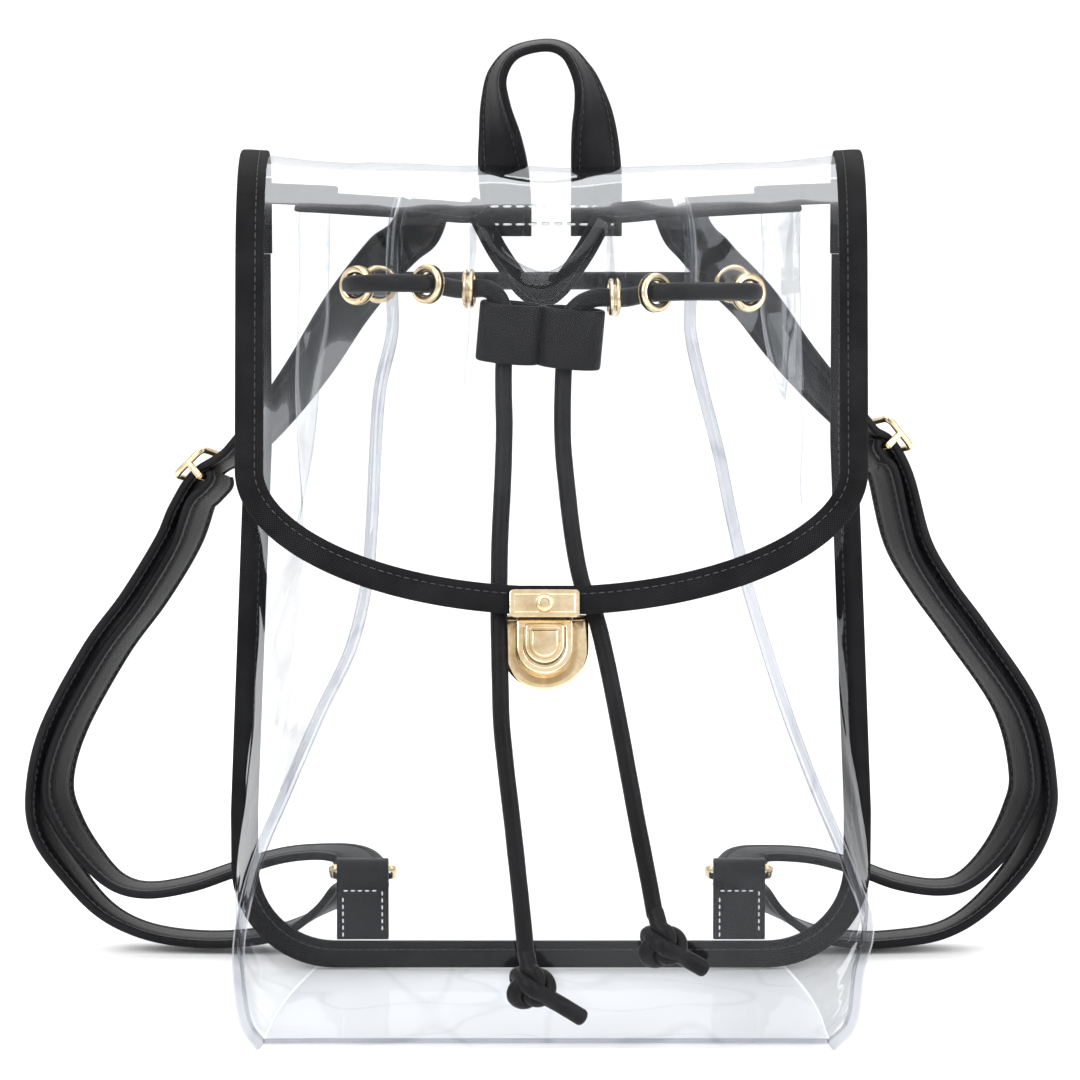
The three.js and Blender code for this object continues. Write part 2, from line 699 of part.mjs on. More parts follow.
function addBody() {
  const front = frontGrid();
  const spots = frontSpots();
  add('front_panel', cutForGrommets(sheetGeometry(front), spots), clearSheet);
  FRONT_GROMMETS.forEach(({ name }, k) => addGrommet(name, spots[k].point, spots[k].normal));
  const rim = foldedStations(rimRows(front, 1, front[0].length - 2, false));
  add('rim_binding_front', bindingGeometry(rim, RIM_BINDING_WIDTH, RIM_SLACK), blackWeave);

  for (const { name, side } of GUSSET_GROMMETS) {
    const grid = gussetGrid(side);
    const spot = gussetSpot(side);
    const label = side < 0 ? 'left' : 'right';
    add(`gusset_${label}`, cutForGrommets(sheetGeometry(grid), [spot]), clearSheet);
    addGrommet(name, spot.point, spot.normal);
    const edge = foldedStations(rimRows(grid, 1, grid[0].length - 1, true));
    add(`rim_binding_${label}`, bindingGeometry(edge, RIM_BINDING_WIDTH, RIM_SLACK), blackWeave);
  }
}

function addBottom() {
  const frontRow = frontGrid()[0];
  const leftRow = gussetGrid(-1)[0];
  const rightRow = gussetGrid(1)[0];
  const outline = [
    frontRow[0], frontRow[frontRow.length - 1], rightRow[0], ...rightRow.slice(2),
    ...leftRow.slice(2).reverse(), leftRow[0],
  ].map((point) => new THREE.Vector2(point.x, point.y));
  const geometry = new THREE.ExtrudeGeometry(new THREE.Shape(outline), {
    depth: SHEET, bevelEnabled: false,
  });
  add('bottom_panel', geometry, clearSheet);
}

// Edge of the back sheet from the top left down, round both corners and up to the top right.
function backEdge() {
  const radius = BACK_CORNER_RADIUS - EDGE_INSET;
  const corner = BACK_HALF_WIDTH - BACK_CORNER_RADIUS;
  const high = BACK_TOP_HALF_WIDTH - EDGE_INSET;
  const left = [
    new THREE.Vector2(-high, BACK_SEAM_Z - GAP),
    new THREE.Vector2(-high, mix(BACK_TAPER_HIGH, BACK_SEAM_Z, 0.5)),
    new THREE.Vector2(-high, BACK_TAPER_HIGH),
    new THREE.Vector2(-(BACK_HALF_WIDTH - EDGE_INSET), BACK_TAPER_LOW),
  ];
  for (let turn = 0; turn <= 90; turn += 15) {
    const angle = (180 + turn) * RADIAN;
    left.push(new THREE.Vector2(
      -corner + radius * Math.cos(angle), BACK_CORNER_RADIUS + radius * Math.sin(angle)));
  }
  const right = left.map((point) => new THREE.Vector2(-point.x, point.y)).reverse();
  return [...left, ...right];
}

function addBack() {
  const edge = backEdge();
  const tab = FLAP_HALF_WIDTH - EDGE_BINDING_WIDTH - 2 * GAP;
  const outline = [
    ...edge,
    new THREE.Vector2(tab, BACK_SEAM_Z - GAP), new THREE.Vector2(tab, BACK_TOP_Z),
    new THREE.Vector2(-tab, BACK_TOP_Z), new THREE.Vector2(-tab, BACK_SEAM_Z - GAP),
  ];
  const shape = new THREE.Shape(outline);
  for (const { x, z } of BACK_GROMMETS) {
    shape.holes.push(new THREE.Path().absarc(x, z, HOLE_RADIUS, 0, 2 * Math.PI));
  }
  const panel = new THREE.ExtrudeGeometry(shape, {
    depth: SHEET, bevelEnabled: false, curveSegments: 6,
  });
  panel.rotateX(Math.PI / 2);
  panel.translate(0, BAG_DEPTH / 2 + SHEET / 2, 0);
  add('back_panel', panel, clearSheet);
  for (const { name, x, z } of BACK_GROMMETS) {
    addGrommet(name, place(x, 0, z), new THREE.Vector3(0, -1, 0));
  }
  const centre = new THREE.Vector2(0, BACK_TAPER_HIGH);
  const stations = edge.map((point) => {
    const inside = new THREE.Vector2(point.x, point.y).lerp(centre, 0.1);
    return {
      point: place(point.x, 0, point.y),
      inside: place(inside.x, 0, inside.y),
      offset: new THREE.Vector3(0, -SHEET / 2, 0),
    };
  });
  add('back_binding', bindingGeometry(squareStations(stations), EDGE_BINDING_WIDTH), blackWeave);
}

function addFlap() {
  const grid = flapGrid();
  add('flap', sheetGeometry(grid), clearSheet);
  const top = grid.length - 1;
  const last = grid[0].length - 1;
  const cells = [];
  for (let j = 0; j < top; j += 1) cells.push([j, 0, j, 1]);
  for (let i = 0; i <= last; i += 1) cells.push([top, i, top - 2, last / 2]);
  for (let j = top - 1; j >= 0; j -= 1) cells.push([j, last, j, last - 1]);
  const stations = squareStations(edgeRows(grid, cells));
  add('flap_binding', bindingGeometry(stations, EDGE_BINDING_WIDTH, FLAP_SLACK), blackWeave);
}

// Stations of the straps: across and height as shares of STRAP_REACH and STRAP_TOP_Z on the left
// and on the right, distance behind as a share of STRAP_BACK, and how far the band's width is
// turned from across to straight back. The first run goes down through the buckle to the ring
// and round it, the second comes back from the ring to the buckle.
const STRAP_DOWN = [
  { left: 0.3, leftHigh: 0.938, right: 0.29, rightHigh: 0.938, back: 0.225, turn: -8 },
  { left: 0.335, leftHigh: 0.908, right: 0.325, rightHigh: 0.91, back: 0.345, turn: 0 },
  { left: 0.39, leftHigh: 0.857, right: 0.385, rightHigh: 0.867, back: 0.42, turn: 11 },
  { left: 0.458, leftHigh: 0.782, right: 0.453, rightHigh: 0.803, back: 0.5, turn: 22 },
  { left: 0.526, leftHigh: 0.718, right: 0.526, rightHigh: 0.743, back: 0.575, turn: 32 },
  { left: 0.59, leftHigh: 0.669, right: 0.585, rightHigh: 0.7, back: 0.63, turn: 42 },
  { left: 0.655, leftHigh: 0.638, right: 0.625, rightHigh: 0.679, back: 0.675, turn: 50 },
  { left: 0.697, leftHigh: 0.595, right: 0.66, rightHigh: 0.635, back: 0.7, turn: 54 },
  { left: 0.726, leftHigh: 0.551, right: 0.695, rightHigh: 0.551, back: 0.73, turn: 55 },
  { left: 0.792, leftHigh: 0.477, right: 0.745, rightHigh: 0.491, back: 0.76, turn: 55 },
  { left: 0.868, leftHigh: 0.405, right: 0.81, rightHigh: 0.43, back: 0.78, turn: 55 },
  { left: 0.952, leftHigh: 0.297, right: 0.91, rightHigh: 0.325, back: 0.8, turn: 56 },
  { left: 0.981, leftHigh: 0.212, right: 0.944, rightHigh: 0.225, back: 0.82, turn: 58 },
  { left: 0.973, leftHigh: 0.153, right: 0.94, rightHigh: 0.17, back: 0.825, turn: 64 },
  { left: 0.922, leftHigh: 0.097, right: 0.905, rightHigh: 0.114, back: 0.83, turn: 72 },
  { left: 0.865, leftHigh: 0.052, right: 0.83, rightHigh: 0.054, back: 0.83, turn: 80 },
  { left: 0.8, leftHigh: 0.026, right: 0.755, rightHigh: 0.022, back: 0.82, turn: 88 },
  { left: 0.72, leftHigh: 0.0135, right: 0.66, rightHigh: 0.0115, back: 0.8, turn: 90 },
  { left: 0.62, leftHigh: 0.012, right: 0.585, rightHigh: 0.0115, back: 0.77, turn: 90 },
  { left: 0.52, leftHigh: 0.024, right: 0.51, rightHigh: 0.022, back: 0.73, turn: 84 },
  { left: 0.44, leftHigh: 0.055, right: 0.435, rightHigh: 0.052, back: 0.68, turn: 62 },
  { left: 0.385, leftHigh: 0.086, right: 0.382, rightHigh: 0.084, back: 0.585, turn: 28 },
];
const STRAP_UP = [
  { left: 0.385, leftHigh: 0.131, right: 0.382, rightHigh: 0.131, back: 0.585, turn: 28 },
  { left: 0.44, leftHigh: 0.133, right: 0.435, rightHigh: 0.131, back: 0.68, turn: 62 },
  { left: 0.52, leftHigh: 0.126, right: 0.51, rightHigh: 0.125, back: 0.73, turn: 84 },
  { left: 0.61, leftHigh: 0.106, right: 0.59, rightHigh: 0.109, back: 0.77, turn: 88 },
  { left: 0.69, leftHigh: 0.087, right: 0.665, rightHigh: 0.09, back: 0.79, turn: 90 },
  { left: 0.775, leftHigh: 0.077, right: 0.745, rightHigh: 0.081, back: 0.81, turn: 88 },
  { left: 0.835, leftHigh: 0.087, right: 0.8, rightHigh: 0.09, back: 0.82, turn: 80 },
  { left: 0.885, leftHigh: 0.12, right: 0.856, rightHigh: 0.128, back: 0.825, turn: 71 },
  { left: 0.93, leftHigh: 0.167, right: 0.898, rightHigh: 0.18, back: 0.825, turn: 63 },
  { left: 0.951, leftHigh: 0.219, right: 0.914, rightHigh: 0.231, back: 0.82, turn: 58 },
  { left: 0.922, leftHigh: 0.293, right: 0.882, rightHigh: 0.319, back: 0.8, turn: 56 },
  { left: 0.841, leftHigh: 0.394, right: 0.784, rightHigh: 0.419, back: 0.78, turn: 55 },
  { left: 0.765, leftHigh: 0.466, right: 0.72, rightHigh: 0.48, back: 0.76, turn: 55 },
  { left: 0.7, leftHigh: 0.54, right: 0.668, rightHigh: 0.543, back: 0.73, turn: 55 },
  { left: 0.673, leftHigh: 0.58, right: 0.638, rightHigh: 0.606, back: 0.7, turn: 54 },
];
const BUCKLE_ROW = 6;
const STRAP_SEWN_HEIGHT = 0.965;

// A direction across a band: turned from across (0) to straight back (90), on a side.
function turned(side, degrees) {
  return new THREE.Vector3(Math.cos(degrees * RADIAN) * -side, Math.sin(degrees * RADIAN), 0);
}

function strapRow(row, side) {
  const across = side < 0 ? row.left : row.right;
  const high = side < 0 ? row.leftHigh : row.rightHigh;
  return {
    point: place(side * across * STRAP_REACH, -row.back * STRAP_BACK, high * STRAP_TOP_Z),
    across: turned(side, row.turn),
  };
}

// Places of the two bars of the ring at the bottom: one in the tab's fold, one in the strap's.
function ringBars() {
  const back = SHEET / 2 + GAP + TAB_THICKNESS + GAP + WIRE_RADIUS;
  const near = new THREE.Vector2(back, TAB_TOP_Z - TAB_THICKNESS - GAP - WIRE_RADIUS);
  const span = 2 * (RING_HALF_DEPTH - WIRE_RADIUS);
  const far = new THREE.Vector2(
    near.x + span * Math.cos(RING_TILT * RADIAN), near.y - span * Math.sin(RING_TILT * RADIAN));
  return { near, far };
}

function strapStations(side) {
  const sewn = {
    point: place(side * 0.236 * STRAP_REACH, SEWN_BACK, STRAP_TOP_Z),
    across: turned(side, 0),
    isFlat: true,
  };
  const seam = {
    point: place(side * 0.257 * STRAP_REACH, SEWN_BACK, STRAP_SEWN_HEIGHT * STRAP_TOP_Z),
    across: turned(side, 0),
    isFlat: true,
  };
  const down = STRAP_DOWN.map((row) => strapRow(row, side));
  const up = STRAP_UP.map((row) => strapRow(row, side));
  const { far } = ringBars();
  const radius = WIRE_RADIUS + GAP + STRAP_THICKNESS / 2;
  const wrap = [-90, -135, -180, -225, -270].map((degrees) => ({
    point: place(side * TAB_X, -(far.x + radius * Math.cos(degrees * RADIAN)),
      far.y + radius * Math.sin(degrees * RADIAN)),
    across: turned(side, 0),
  }));
  return [
    sewn, ...smoothStations([seam, ...down, wrap[0]], 2),
    ...wrap.slice(1), ...up,
  ];
}

function addStraps() {
  for (const [label, side] of [['left', -1], ['right', 1]]) {
    const stations = strapStations(side);
    add(`strap_${label}`, bandGeometry(stations, STRAP_WIDTH, STRAP_THICKNESS), blackLeather);
    addBuckle(label, side);
    addTabAndRing(label, side);
  }
}

// A frame over the strap's outer face with its middle bar behind the strap.
function addBuckle(label, side) {
  const rows = STRAP_DOWN.slice(BUCKLE_ROW - 1, BUCKLE_ROW + 2).map((row) => strapRow(row, side));
  const along = new THREE.Vector3().subVectors(rows[2].point, rows[0].point).normalize();
  const wide = rows[1].across.clone().addScaledVector(along, -rows[1].across.dot(along)).normalize();
  const out = new THREE.Vector3().crossVectors(along, wide).normalize();
  if (out.z < 0) out.negate();
  const lift = STRAP_THICKNESS / 2 + GAP * 2 + WIRE_RADIUS;
  const halfWidth = STRAP_WIDTH / 2 + 2 * GAP + WIRE_RADIUS;
  const frame = wireLoopGeometry(halfWidth, BUCKLE_HALF_LENGTH, 2.5, WIRE_RADIUS);
  frame.translate(0, 0, lift);
  let solid = toSolid(frame);
  const bar = new THREE.CylinderGeometry(WIRE_RADIUS, WIRE_RADIUS, 2 * halfWidth, 6);
  bar.rotateZ(Math.PI / 2);
  bar.translate(0, 0, -lift);
  solid = solid.add(toSolid(bar));
  for (const end of [-1, 1]) {
    const post = new THREE.BoxGeometry(2 * WIRE_RADIUS, 2 * WIRE_RADIUS, 2 * lift + WIRE_RADIUS);
    post.translate(end * halfWidth, 0, -WIRE_RADIUS / 2);
    solid = solid.add(toSolid(post));
  }
  const mesh = add(`buckle_${label}`, toGeometry(solid), paleGold);
  const turn = new THREE.Matrix4().makeBasis(wide, new THREE.Vector3().crossVectors(out, wide), out);
  mesh.quaternion.setFromRotationMatrix(turn);
  mesh.position.copy(rows[1].point);
}

// The folded tab low on the back panel, and the wire ring that it holds.
function addTabAndRing(label, side) {
  const { near, far } = ringBars();
  const loopRadius = WIRE_RADIUS + GAP + TAB_THICKNESS;
  const front = SHEET / 2 + GAP;
  const low = EDGE_BINDING_WIDTH + GAP;
  const shape = new THREE.Shape();
  shape.moveTo(front, low);
  shape.lineTo(front + 2 * TAB_THICKNESS, low);
  shape.lineTo(front + 2 * TAB_THICKNESS, near.y - loopRadius);
  shape.absarc(near.x, near.y, loopRadius, -0.35 * Math.PI, Math.PI, false);
  shape.lineTo(front, near.y);
  shape.closePath();
  shape.holes.push(new THREE.Path().absarc(near.x, near.y, WIRE_RADIUS + GAP, 0, 2 * Math.PI));
  const width = STRAP_WIDTH + 0.5;
  const tab = new THREE.ExtrudeGeometry(shape, {
    depth: width, bevelEnabled: false, curveSegments: 6,
  });
  const basis = new THREE.Matrix4().makeBasis(
    new THREE.Vector3(0, 1, 0), new THREE.Vector3(0, 0, 1), new THREE.Vector3(1, 0, 0));
  tab.applyMatrix4(basis);
  const start = place(side * TAB_X - width / 2, 0, 0);
  tab.translate(start.x, start.y, start.z);
  add(`tab_${label}`, tab, blackLeather);

  const ring = wireLoopGeometry(width / 2 + 2 * GAP + WIRE_RADIUS, RING_HALF_DEPTH - WIRE_RADIUS,
    2.5, WIRE_RADIUS);
  const mesh = add(`ring_${label}`, ring, paleGold);
  mesh.rotation.x = -RING_TILT * RADIAN;
  mesh.position.copy(place(side * TAB_X, -(near.x + far.x) / 2, (near.y + far.y) / 2));
}

// Handle stations: across as a share of its half spacing, distance behind as a share of its
// width, height as a share of its top, and the turn of its width from across towards the front.
const HANDLE_TABLE = [
  { across: -1.05, back: 0.3, high: 0.858, turn: 8 },
  { across: -1.12, back: 0.28, high: 0.895, turn: 35 },
  { across: -1.21, back: 0.2, high: 0.933, turn: 60 },
  { across: -1.16, back: 0.11, high: 0.965, turn: 76 },
  { across: -0.8, back: 0.08, high: 0.988, turn: 85 },
  { across: -0.12, back: 0.08, high: 0.996, turn: 92 },
  { across: 0.34, back: 0.08, high: 0.989, turn: 98 },
  { across: 0.66, back: 0.11, high: 0.967, turn: 107 },
  { across: 0.84, back: 0.2, high: 0.94, turn: 122 },
  { across: 0.94, back: 0.28, high: 0.906, turn: 147 },
  { across: 1, back: 0.3, high: 0.858, turn: 172 },
];

function addHandle() {
  const leg = (side, z, turn) => ({
    point: place(side * HANDLE_HALF_SPACING, SEWN_BACK, z), across: turned(-1, -turn), isFlat: true,
  });
  const sewnTop = mix(HANDLE_END_Z, HANDLE_HEIGHT, 0.17);
  const rows = HANDLE_TABLE.map((row) => ({
    point: place(row.across * HANDLE_HALF_SPACING, -row.back * STRAP_WIDTH,
      row.high * (HANDLE_HEIGHT - STRAP_THICKNESS / 2)),
    across: turned(-1, -row.turn),
  }));
  const stations = [
    leg(-1, HANDLE_END_Z, 0), ...smoothStations([leg(-1, sewnTop, 0), ...rows, leg(1, sewnTop, 180)], 2),
    leg(1, HANDLE_END_Z, 180),
  ];
  add('handle', bandGeometry(stations, STRAP_WIDTH, STRAP_THICKNESS), blackLeather);
}

// Middle of the front panel at a height: its distance forward and its slope.
function frontMiddle(z) {
  const rows = bodyRows();
  const k = rows.findIndex((row) => row.z > z);
  const share = (z - rows[k - 1].z) / (rows[k].z - rows[k - 1].z);
  return mix(rows[k - 1].depth, rows[k].depth, share);
}

// A flat shape with a straight top and a half-round bottom.
function shieldShape(halfWidth, top, bottom) {
  const shape = new THREE.Shape();
  shape.moveTo(-halfWidth, top);
  shape.lineTo(-halfWidth, bottom + halfWidth);
  shape.absarc(0, bottom + halfWidth, halfWidth, Math.PI, 2 * Math.PI, false);
  shape.lineTo(halfWidth, top);
  shape.closePath();
  return shape;
}

// A slab of a shape drawn across and up, from one distance out of the front panel to another.
function slab(shape, near, far) {
  const geometry = new THREE.ExtrudeGeometry(shape, {
    depth: far - near, bevelEnabled: false, curveSegments: 6,
  });
  geometry.rotateX(Math.PI / 2);
  geometry.translate(0, -near, 0);
  return geometry;
}

function block(halfWidth, near, far, bottom, top) {
  const geometry = new THREE.BoxGeometry(2 * halfWidth, far - near, top - bottom);
  geometry.translate(0, -(near + far) / 2, (bottom + top) / 2);
  return geometry;
}

function addLock() {
  const forward = frontMiddle(LOCK_Z);
  const rise = LOCK_HALF_WIDTH / 2;
  const lean = frontMiddle(LOCK_Z - rise) - frontMiddle(LOCK_Z + rise);
  const tilt = Math.atan2(lean, 2 * rise);
  const lock = new THREE.Group();
  lock.position.copy(place(LOCK_X, forward, LOCK_Z));
  lock.rotation.x = -tilt;
  group.add(lock);
  const flapForwardGap = FLAP_REACH - forward;
  const flapUpGap = FLAP_BOTTOM_Z - LOCK_Z;
  const flapOut = flapForwardGap * Math.cos(tilt) + flapUpGap * Math.sin(tilt);
  const flapUp = -flapForwardGap * Math.sin(tilt) + flapUpGap * Math.cos(tilt);

  const plateNear = SHEET / 2 + GAP;
  const plateFar = plateNear + LOCK_PLATE;
  const bodyFar = flapOut - LOCK_BODY_SET_BACK;
  const buttonNear = bodyFar - BUTTON_DEPTH;
  const bladeFar = buttonNear - BUTTON_WALL - GAP;
  const bladeNear = bladeFar - LOCK_PLATE;
  let solid = toSolid(slab(shieldShape(LOCK_HALF_WIDTH, LOCK_TOP, LOCK_BOTTOM), plateNear, plateFar));
  const body = shieldShape(LOCK_BODY_HALF_WIDTH, LOCK_BODY_TOP, LOCK_BODY_BOTTOM);
  solid = solid.add(toSolid(slab(body, plateFar - GAP, bodyFar)));
  solid = solid.subtract(toSolid(block(BLADE_HALF_WIDTH + GAP, bladeNear - GAP, bladeFar + GAP,
    LOCK_BODY_TOP - BLADE_LENGTH - GAP, LOCK_BODY_TOP + 1)));
  const pocket = shieldShape(BUTTON_HALF_WIDTH + GAP, BUTTON_TOP + GAP, BUTTON_BOTTOM - GAP);
  solid = solid.subtract(toSolid(slab(pocket, buttonNear, bodyFar + 1)));
  const addTo = (name, geometry) => {
    const mesh = new THREE.Mesh(geometry, paleGold);
    mesh.name = name;
    lock.add(mesh);
  };
  addTo('lock_case', toGeometry(solid));

  const button = shieldShape(BUTTON_HALF_WIDTH, BUTTON_TOP, BUTTON_BOTTOM);
  addTo('lock_button', slab(button, buttonNear + BUTTON_TRAVEL + GAP, bodyFar + BUTTON_TRAVEL));

  const bridgeBottom = LOCK_BODY_TOP + GAP;
  const bridgeTop = flapUp - EDGE_INSET - FLAP_SLACK - GAP;
  const faceNear = flapOut + BINDING_OUTER + FLAP_SLACK + GAP;
  const faceFar = faceNear + LOCK_PLATE;
  let tongue = toSolid(block(BLADE_HALF_WIDTH, bladeNear, bladeFar,
    LOCK_BODY_TOP - BLADE_LENGTH, bridgeTop));
  tongue = tongue.add(toSolid(block(LOCK_BODY_HALF_WIDTH, bladeNear, faceFar, bridgeBottom, bridgeTop)));
  tongue = tongue.add(toSolid(block(TONGUE_HALF_WIDTH, faceNear, faceFar,
    bridgeBottom, bridgeBottom + TONGUE_HEIGHT)));
  const rivet = new THREE.CylinderGeometry(RIVET_RADIUS * 0.7, RIVET_RADIUS, RIVET_HEIGHT, 12);
  rivet.rotateX(Math.PI);
  rivet.translate(0, -(faceFar + RIVET_HEIGHT / 2 - GAP), bridgeBottom + TONGUE_HEIGHT / 2);
  tongue = tongue.add(toSolid(rivet));
  addTo('lock_tongue', toGeometry(tongue));
}

// Two oval sleeves side by side that slide on the cords.
function addStopper() {
  const half = STOPPER_WIDTH / 4;
  const sleeve = (x, grow) => {
    const shape = new THREE.Shape();
    shape.absellipse(x, 0, half + grow + 0.6, STOPPER_DEPTH / 2 + grow, 0, 2 * Math.PI);
    const geometry = new THREE.ExtrudeGeometry(shape, {
      depth: STOPPER_HEIGHT + (grow < 0 ? 2 : 0), bevelEnabled: false, curveSegments: 8,
    });
    geometry.translate(0, 0, -STOPPER_HEIGHT / 2 - (grow < 0 ? 1 : 0));
    return toSolid(geometry);
  };
  let solid = sleeve(-half, 0).add(sleeve(half, 0));
  solid = solid.subtract(sleeve(-half, -STOPPER_WALL)).subtract(sleeve(half, -STOPPER_WALL));
  const mesh = add('stopper', toGeometry(solid), blackLeather);
  mesh.position.copy(place(STOPPER_X, STOPPER_FORWARD, STOPPER_Z));
  mesh.rotation.y = -STOPPER_TILT * RADIAN;
}

// Route of the drawstring between its two ends in the stopper: from a sleeve through the front
// panel's two grommets on that side, out over the seam, in through the gusset's and out through
// the back panel's, then across behind the back panel.
const CORD_STRAIGHT = 3.8;
const CORD_CLEAR = 8.2;
const CORD_OVER_SEAM = 9.8;
const CORD_TURN = 5;
const CORD_BEHIND = 8.2;
const SLEEVE_ROUTE = {
  left: [[-15.5, 66, 245.2], [-16.4, 66, 251], [-18.8, 66, 257.4], [-22.6, 65.6, 260.3]],
  right: [[5, 66, 246], [6.4, 66, 250.5], [10.2, 66, 254.9], [15.2, 65.6, 257]],
};

function sideRoute(side) {
  const [outer, inner] = side < 0 ? [0, 1] : [3, 2];
  const spots = frontSpots();
  const first = spots[inner];
  const second = spots[outer];
  const third = gussetSpot(side);
  const fourth = backSpot(side);
  const off = (spot, distance) => spot.point.clone().addScaledVector(spot.normal, distance);
  const along = new THREE.Vector3().subVectors(third.point, second.point).normalize();
  const over = second.point.clone().lerp(third.point, 0.5);
  const out = second.normal.clone().add(third.normal).normalize();
  const behind = place(fourth.point.x, -CORD_BEHIND, fourth.point.z);
  return [
    ...SLEEVE_ROUTE[side < 0 ? 'left' : 'right'].map((point) => place(...point)),
    first.point, off(first, -CORD_STRAIGHT),
    off(second, -CORD_STRAIGHT), second.point, off(second, CORD_STRAIGHT),
    off(second, CORD_CLEAR).addScaledVector(along, CORD_TURN),
    over.addScaledVector(out, CORD_OVER_SEAM),
    off(third, CORD_CLEAR).addScaledVector(along, -CORD_TURN),
    off(third, CORD_STRAIGHT), third.point, off(third, -CORD_STRAIGHT),
    off(third, -4 * CORD_STRAIGHT).lerp(off(fourth, -4 * CORD_STRAIGHT), 0.4),
    off(fourth, -2 * CORD_STRAIGHT), off(fourth, -CORD_STRAIGHT), fourth.point,
    off(fourth, CORD_STRAIGHT),
    behind.clone().setX(fourth.point.x - side * CORD_TURN * 0.8),
    behind.clone().setX(fourth.point.x - side * CORD_TURN * 2.4),
  ];
}

function addDrawstring() {
  const route = [
    ...sideRoute(-1), place(-20, -CORD_BEHIND, BACK_GROMMETS[0].z),
    place(20, -CORD_BEHIND, BACK_GROMMETS[1].z), ...sideRoute(1).reverse(),
  ];
  add('drawstring', tubeGeometry(route, CORD_RADIUS, 64, 8), blackLeather);
}

// Hanging tails, from inside a sleeve down the front panel to the knot.
const TAIL_ROUTES = {
  left: [
    [-15.5, 66, 243.9], [-16.6, 66.4, 236], [-16.8, 71.6, 226], [-16.5, 79.6, 214],
    [-17, 89.6, 196], [-18, 97.2, 176], [-18.3, 102.2, 158], [-18.3, 105, 149],
    [-18.1, 107.8, 139], [-17.8, 111.6, 127], [-17.4, 114, 115], [-15.8, 117.8, 99],
    [-13.4, 121.5, 79], [-11, 124.6, 57], [-9.6, 126.2, 43], [-8.8, 127.2, 34.1],
  ],
  right: [
    [5, 66, 243.9], [4.4, 66.4, 233.5], [4, 72.4, 224], [4, 81.6, 208.5],
    [5.6, 91.2, 192], [7.8, 97.6, 175], [10.8, 101, 161], [15, 103.2, 151.5],
    [18.6, 107.4, 138], [21.4, 111.4, 125], [23.8, 114.8, 113], [27, 119, 96],
    [30, 122, 80], [33.2, 124.6, 64], [36, 127, 49],
  ],
};
const KNOTS = {
  left: { x: -7.4, forward: 130.2, z: 24.6, end: [10.5, 128.6, 13] },
  right: { x: 38.2, forward: 130.2, z: 39.4, end: [53, 128.8, 30.5] },
};

// An overhand knot, as a round lump with the short end of the cord coming out of it.
function addTail(label) {
  const route = TAIL_ROUTES[label].map((point) => place(...point));
  add(`cord_tail_${label}`, tubeGeometry(route, TAIL_RADIUS, 22, 8), blackLeather);
  const { x, forward, z, end } = KNOTS[label];
  const centre = place(x, forward, z);
  const lump = new THREE.SphereGeometry(KNOT_RADIUS, 10, 7);
  lump.scale(1.15, 0.94, 1.08);
  const tip = place(...end);
  const short = tubeGeometry([centre, centre.clone().lerp(tip, 0.5), tip], TAIL_RADIUS, 4, 8);
  lump.translate(centre.x, centre.y, centre.z);
  const knot = toGeometry(toSolid(lump).add(toSolid(short)));
  add(`knot_${label}`, knot, blackLeather);
}

addBody();
addBottom();
addBack();
addFlap();
addStraps();
addHandle();
addLock();
addStopper();
addDrawstring();
addTail('left');
addTail('right');

export default group;
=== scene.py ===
"""Looks of the clear drawstring backpack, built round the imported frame."""
import math

import bpy
import numpy as np
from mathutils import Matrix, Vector, noise


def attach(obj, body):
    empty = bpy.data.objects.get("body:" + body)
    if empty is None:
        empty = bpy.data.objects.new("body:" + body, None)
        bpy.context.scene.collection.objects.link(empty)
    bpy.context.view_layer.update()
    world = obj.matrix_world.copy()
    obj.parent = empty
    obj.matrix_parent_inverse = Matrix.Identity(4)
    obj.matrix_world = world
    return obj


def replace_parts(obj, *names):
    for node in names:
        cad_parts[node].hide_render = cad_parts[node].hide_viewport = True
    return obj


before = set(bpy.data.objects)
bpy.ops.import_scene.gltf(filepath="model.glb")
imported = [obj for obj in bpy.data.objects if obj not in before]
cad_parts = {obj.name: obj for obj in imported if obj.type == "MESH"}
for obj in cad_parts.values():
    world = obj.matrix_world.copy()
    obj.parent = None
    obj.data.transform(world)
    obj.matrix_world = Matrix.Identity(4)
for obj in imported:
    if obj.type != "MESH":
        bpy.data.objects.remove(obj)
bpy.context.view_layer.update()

MM = 0.001
SIDES = ((-1, "left"), (1, "right"))

# Camera at the photograph's angle: 10 degrees above the floor, straight on
AIM = Vector((-0.004, 0.060, 0.1592))
CAMERA_DISTANCE = 2.5
CAMERA_RISE = math.radians(10)
CAMERA_LENS = 229.6
SENSOR_WIDTH = 36
FAR_CLIP = 20
camera_data = bpy.data.cameras.new("camera")
camera_data.lens = CAMERA_LENS
camera_data.sensor_width = SENSOR_WIDTH
camera_data.clip_end = FAR_CLIP
camera = bpy.data.objects.new("camera", camera_data)
bpy.context.scene.collection.objects.link(camera)
camera.location = AIM + CAMERA_DISTANCE * Vector((0, -math.cos(CAMERA_RISE), math.sin(CAMERA_RISE)))
camera.rotation_euler = (math.pi / 2 - CAMERA_RISE, 0, 0)
bpy.context.scene.camera = camera

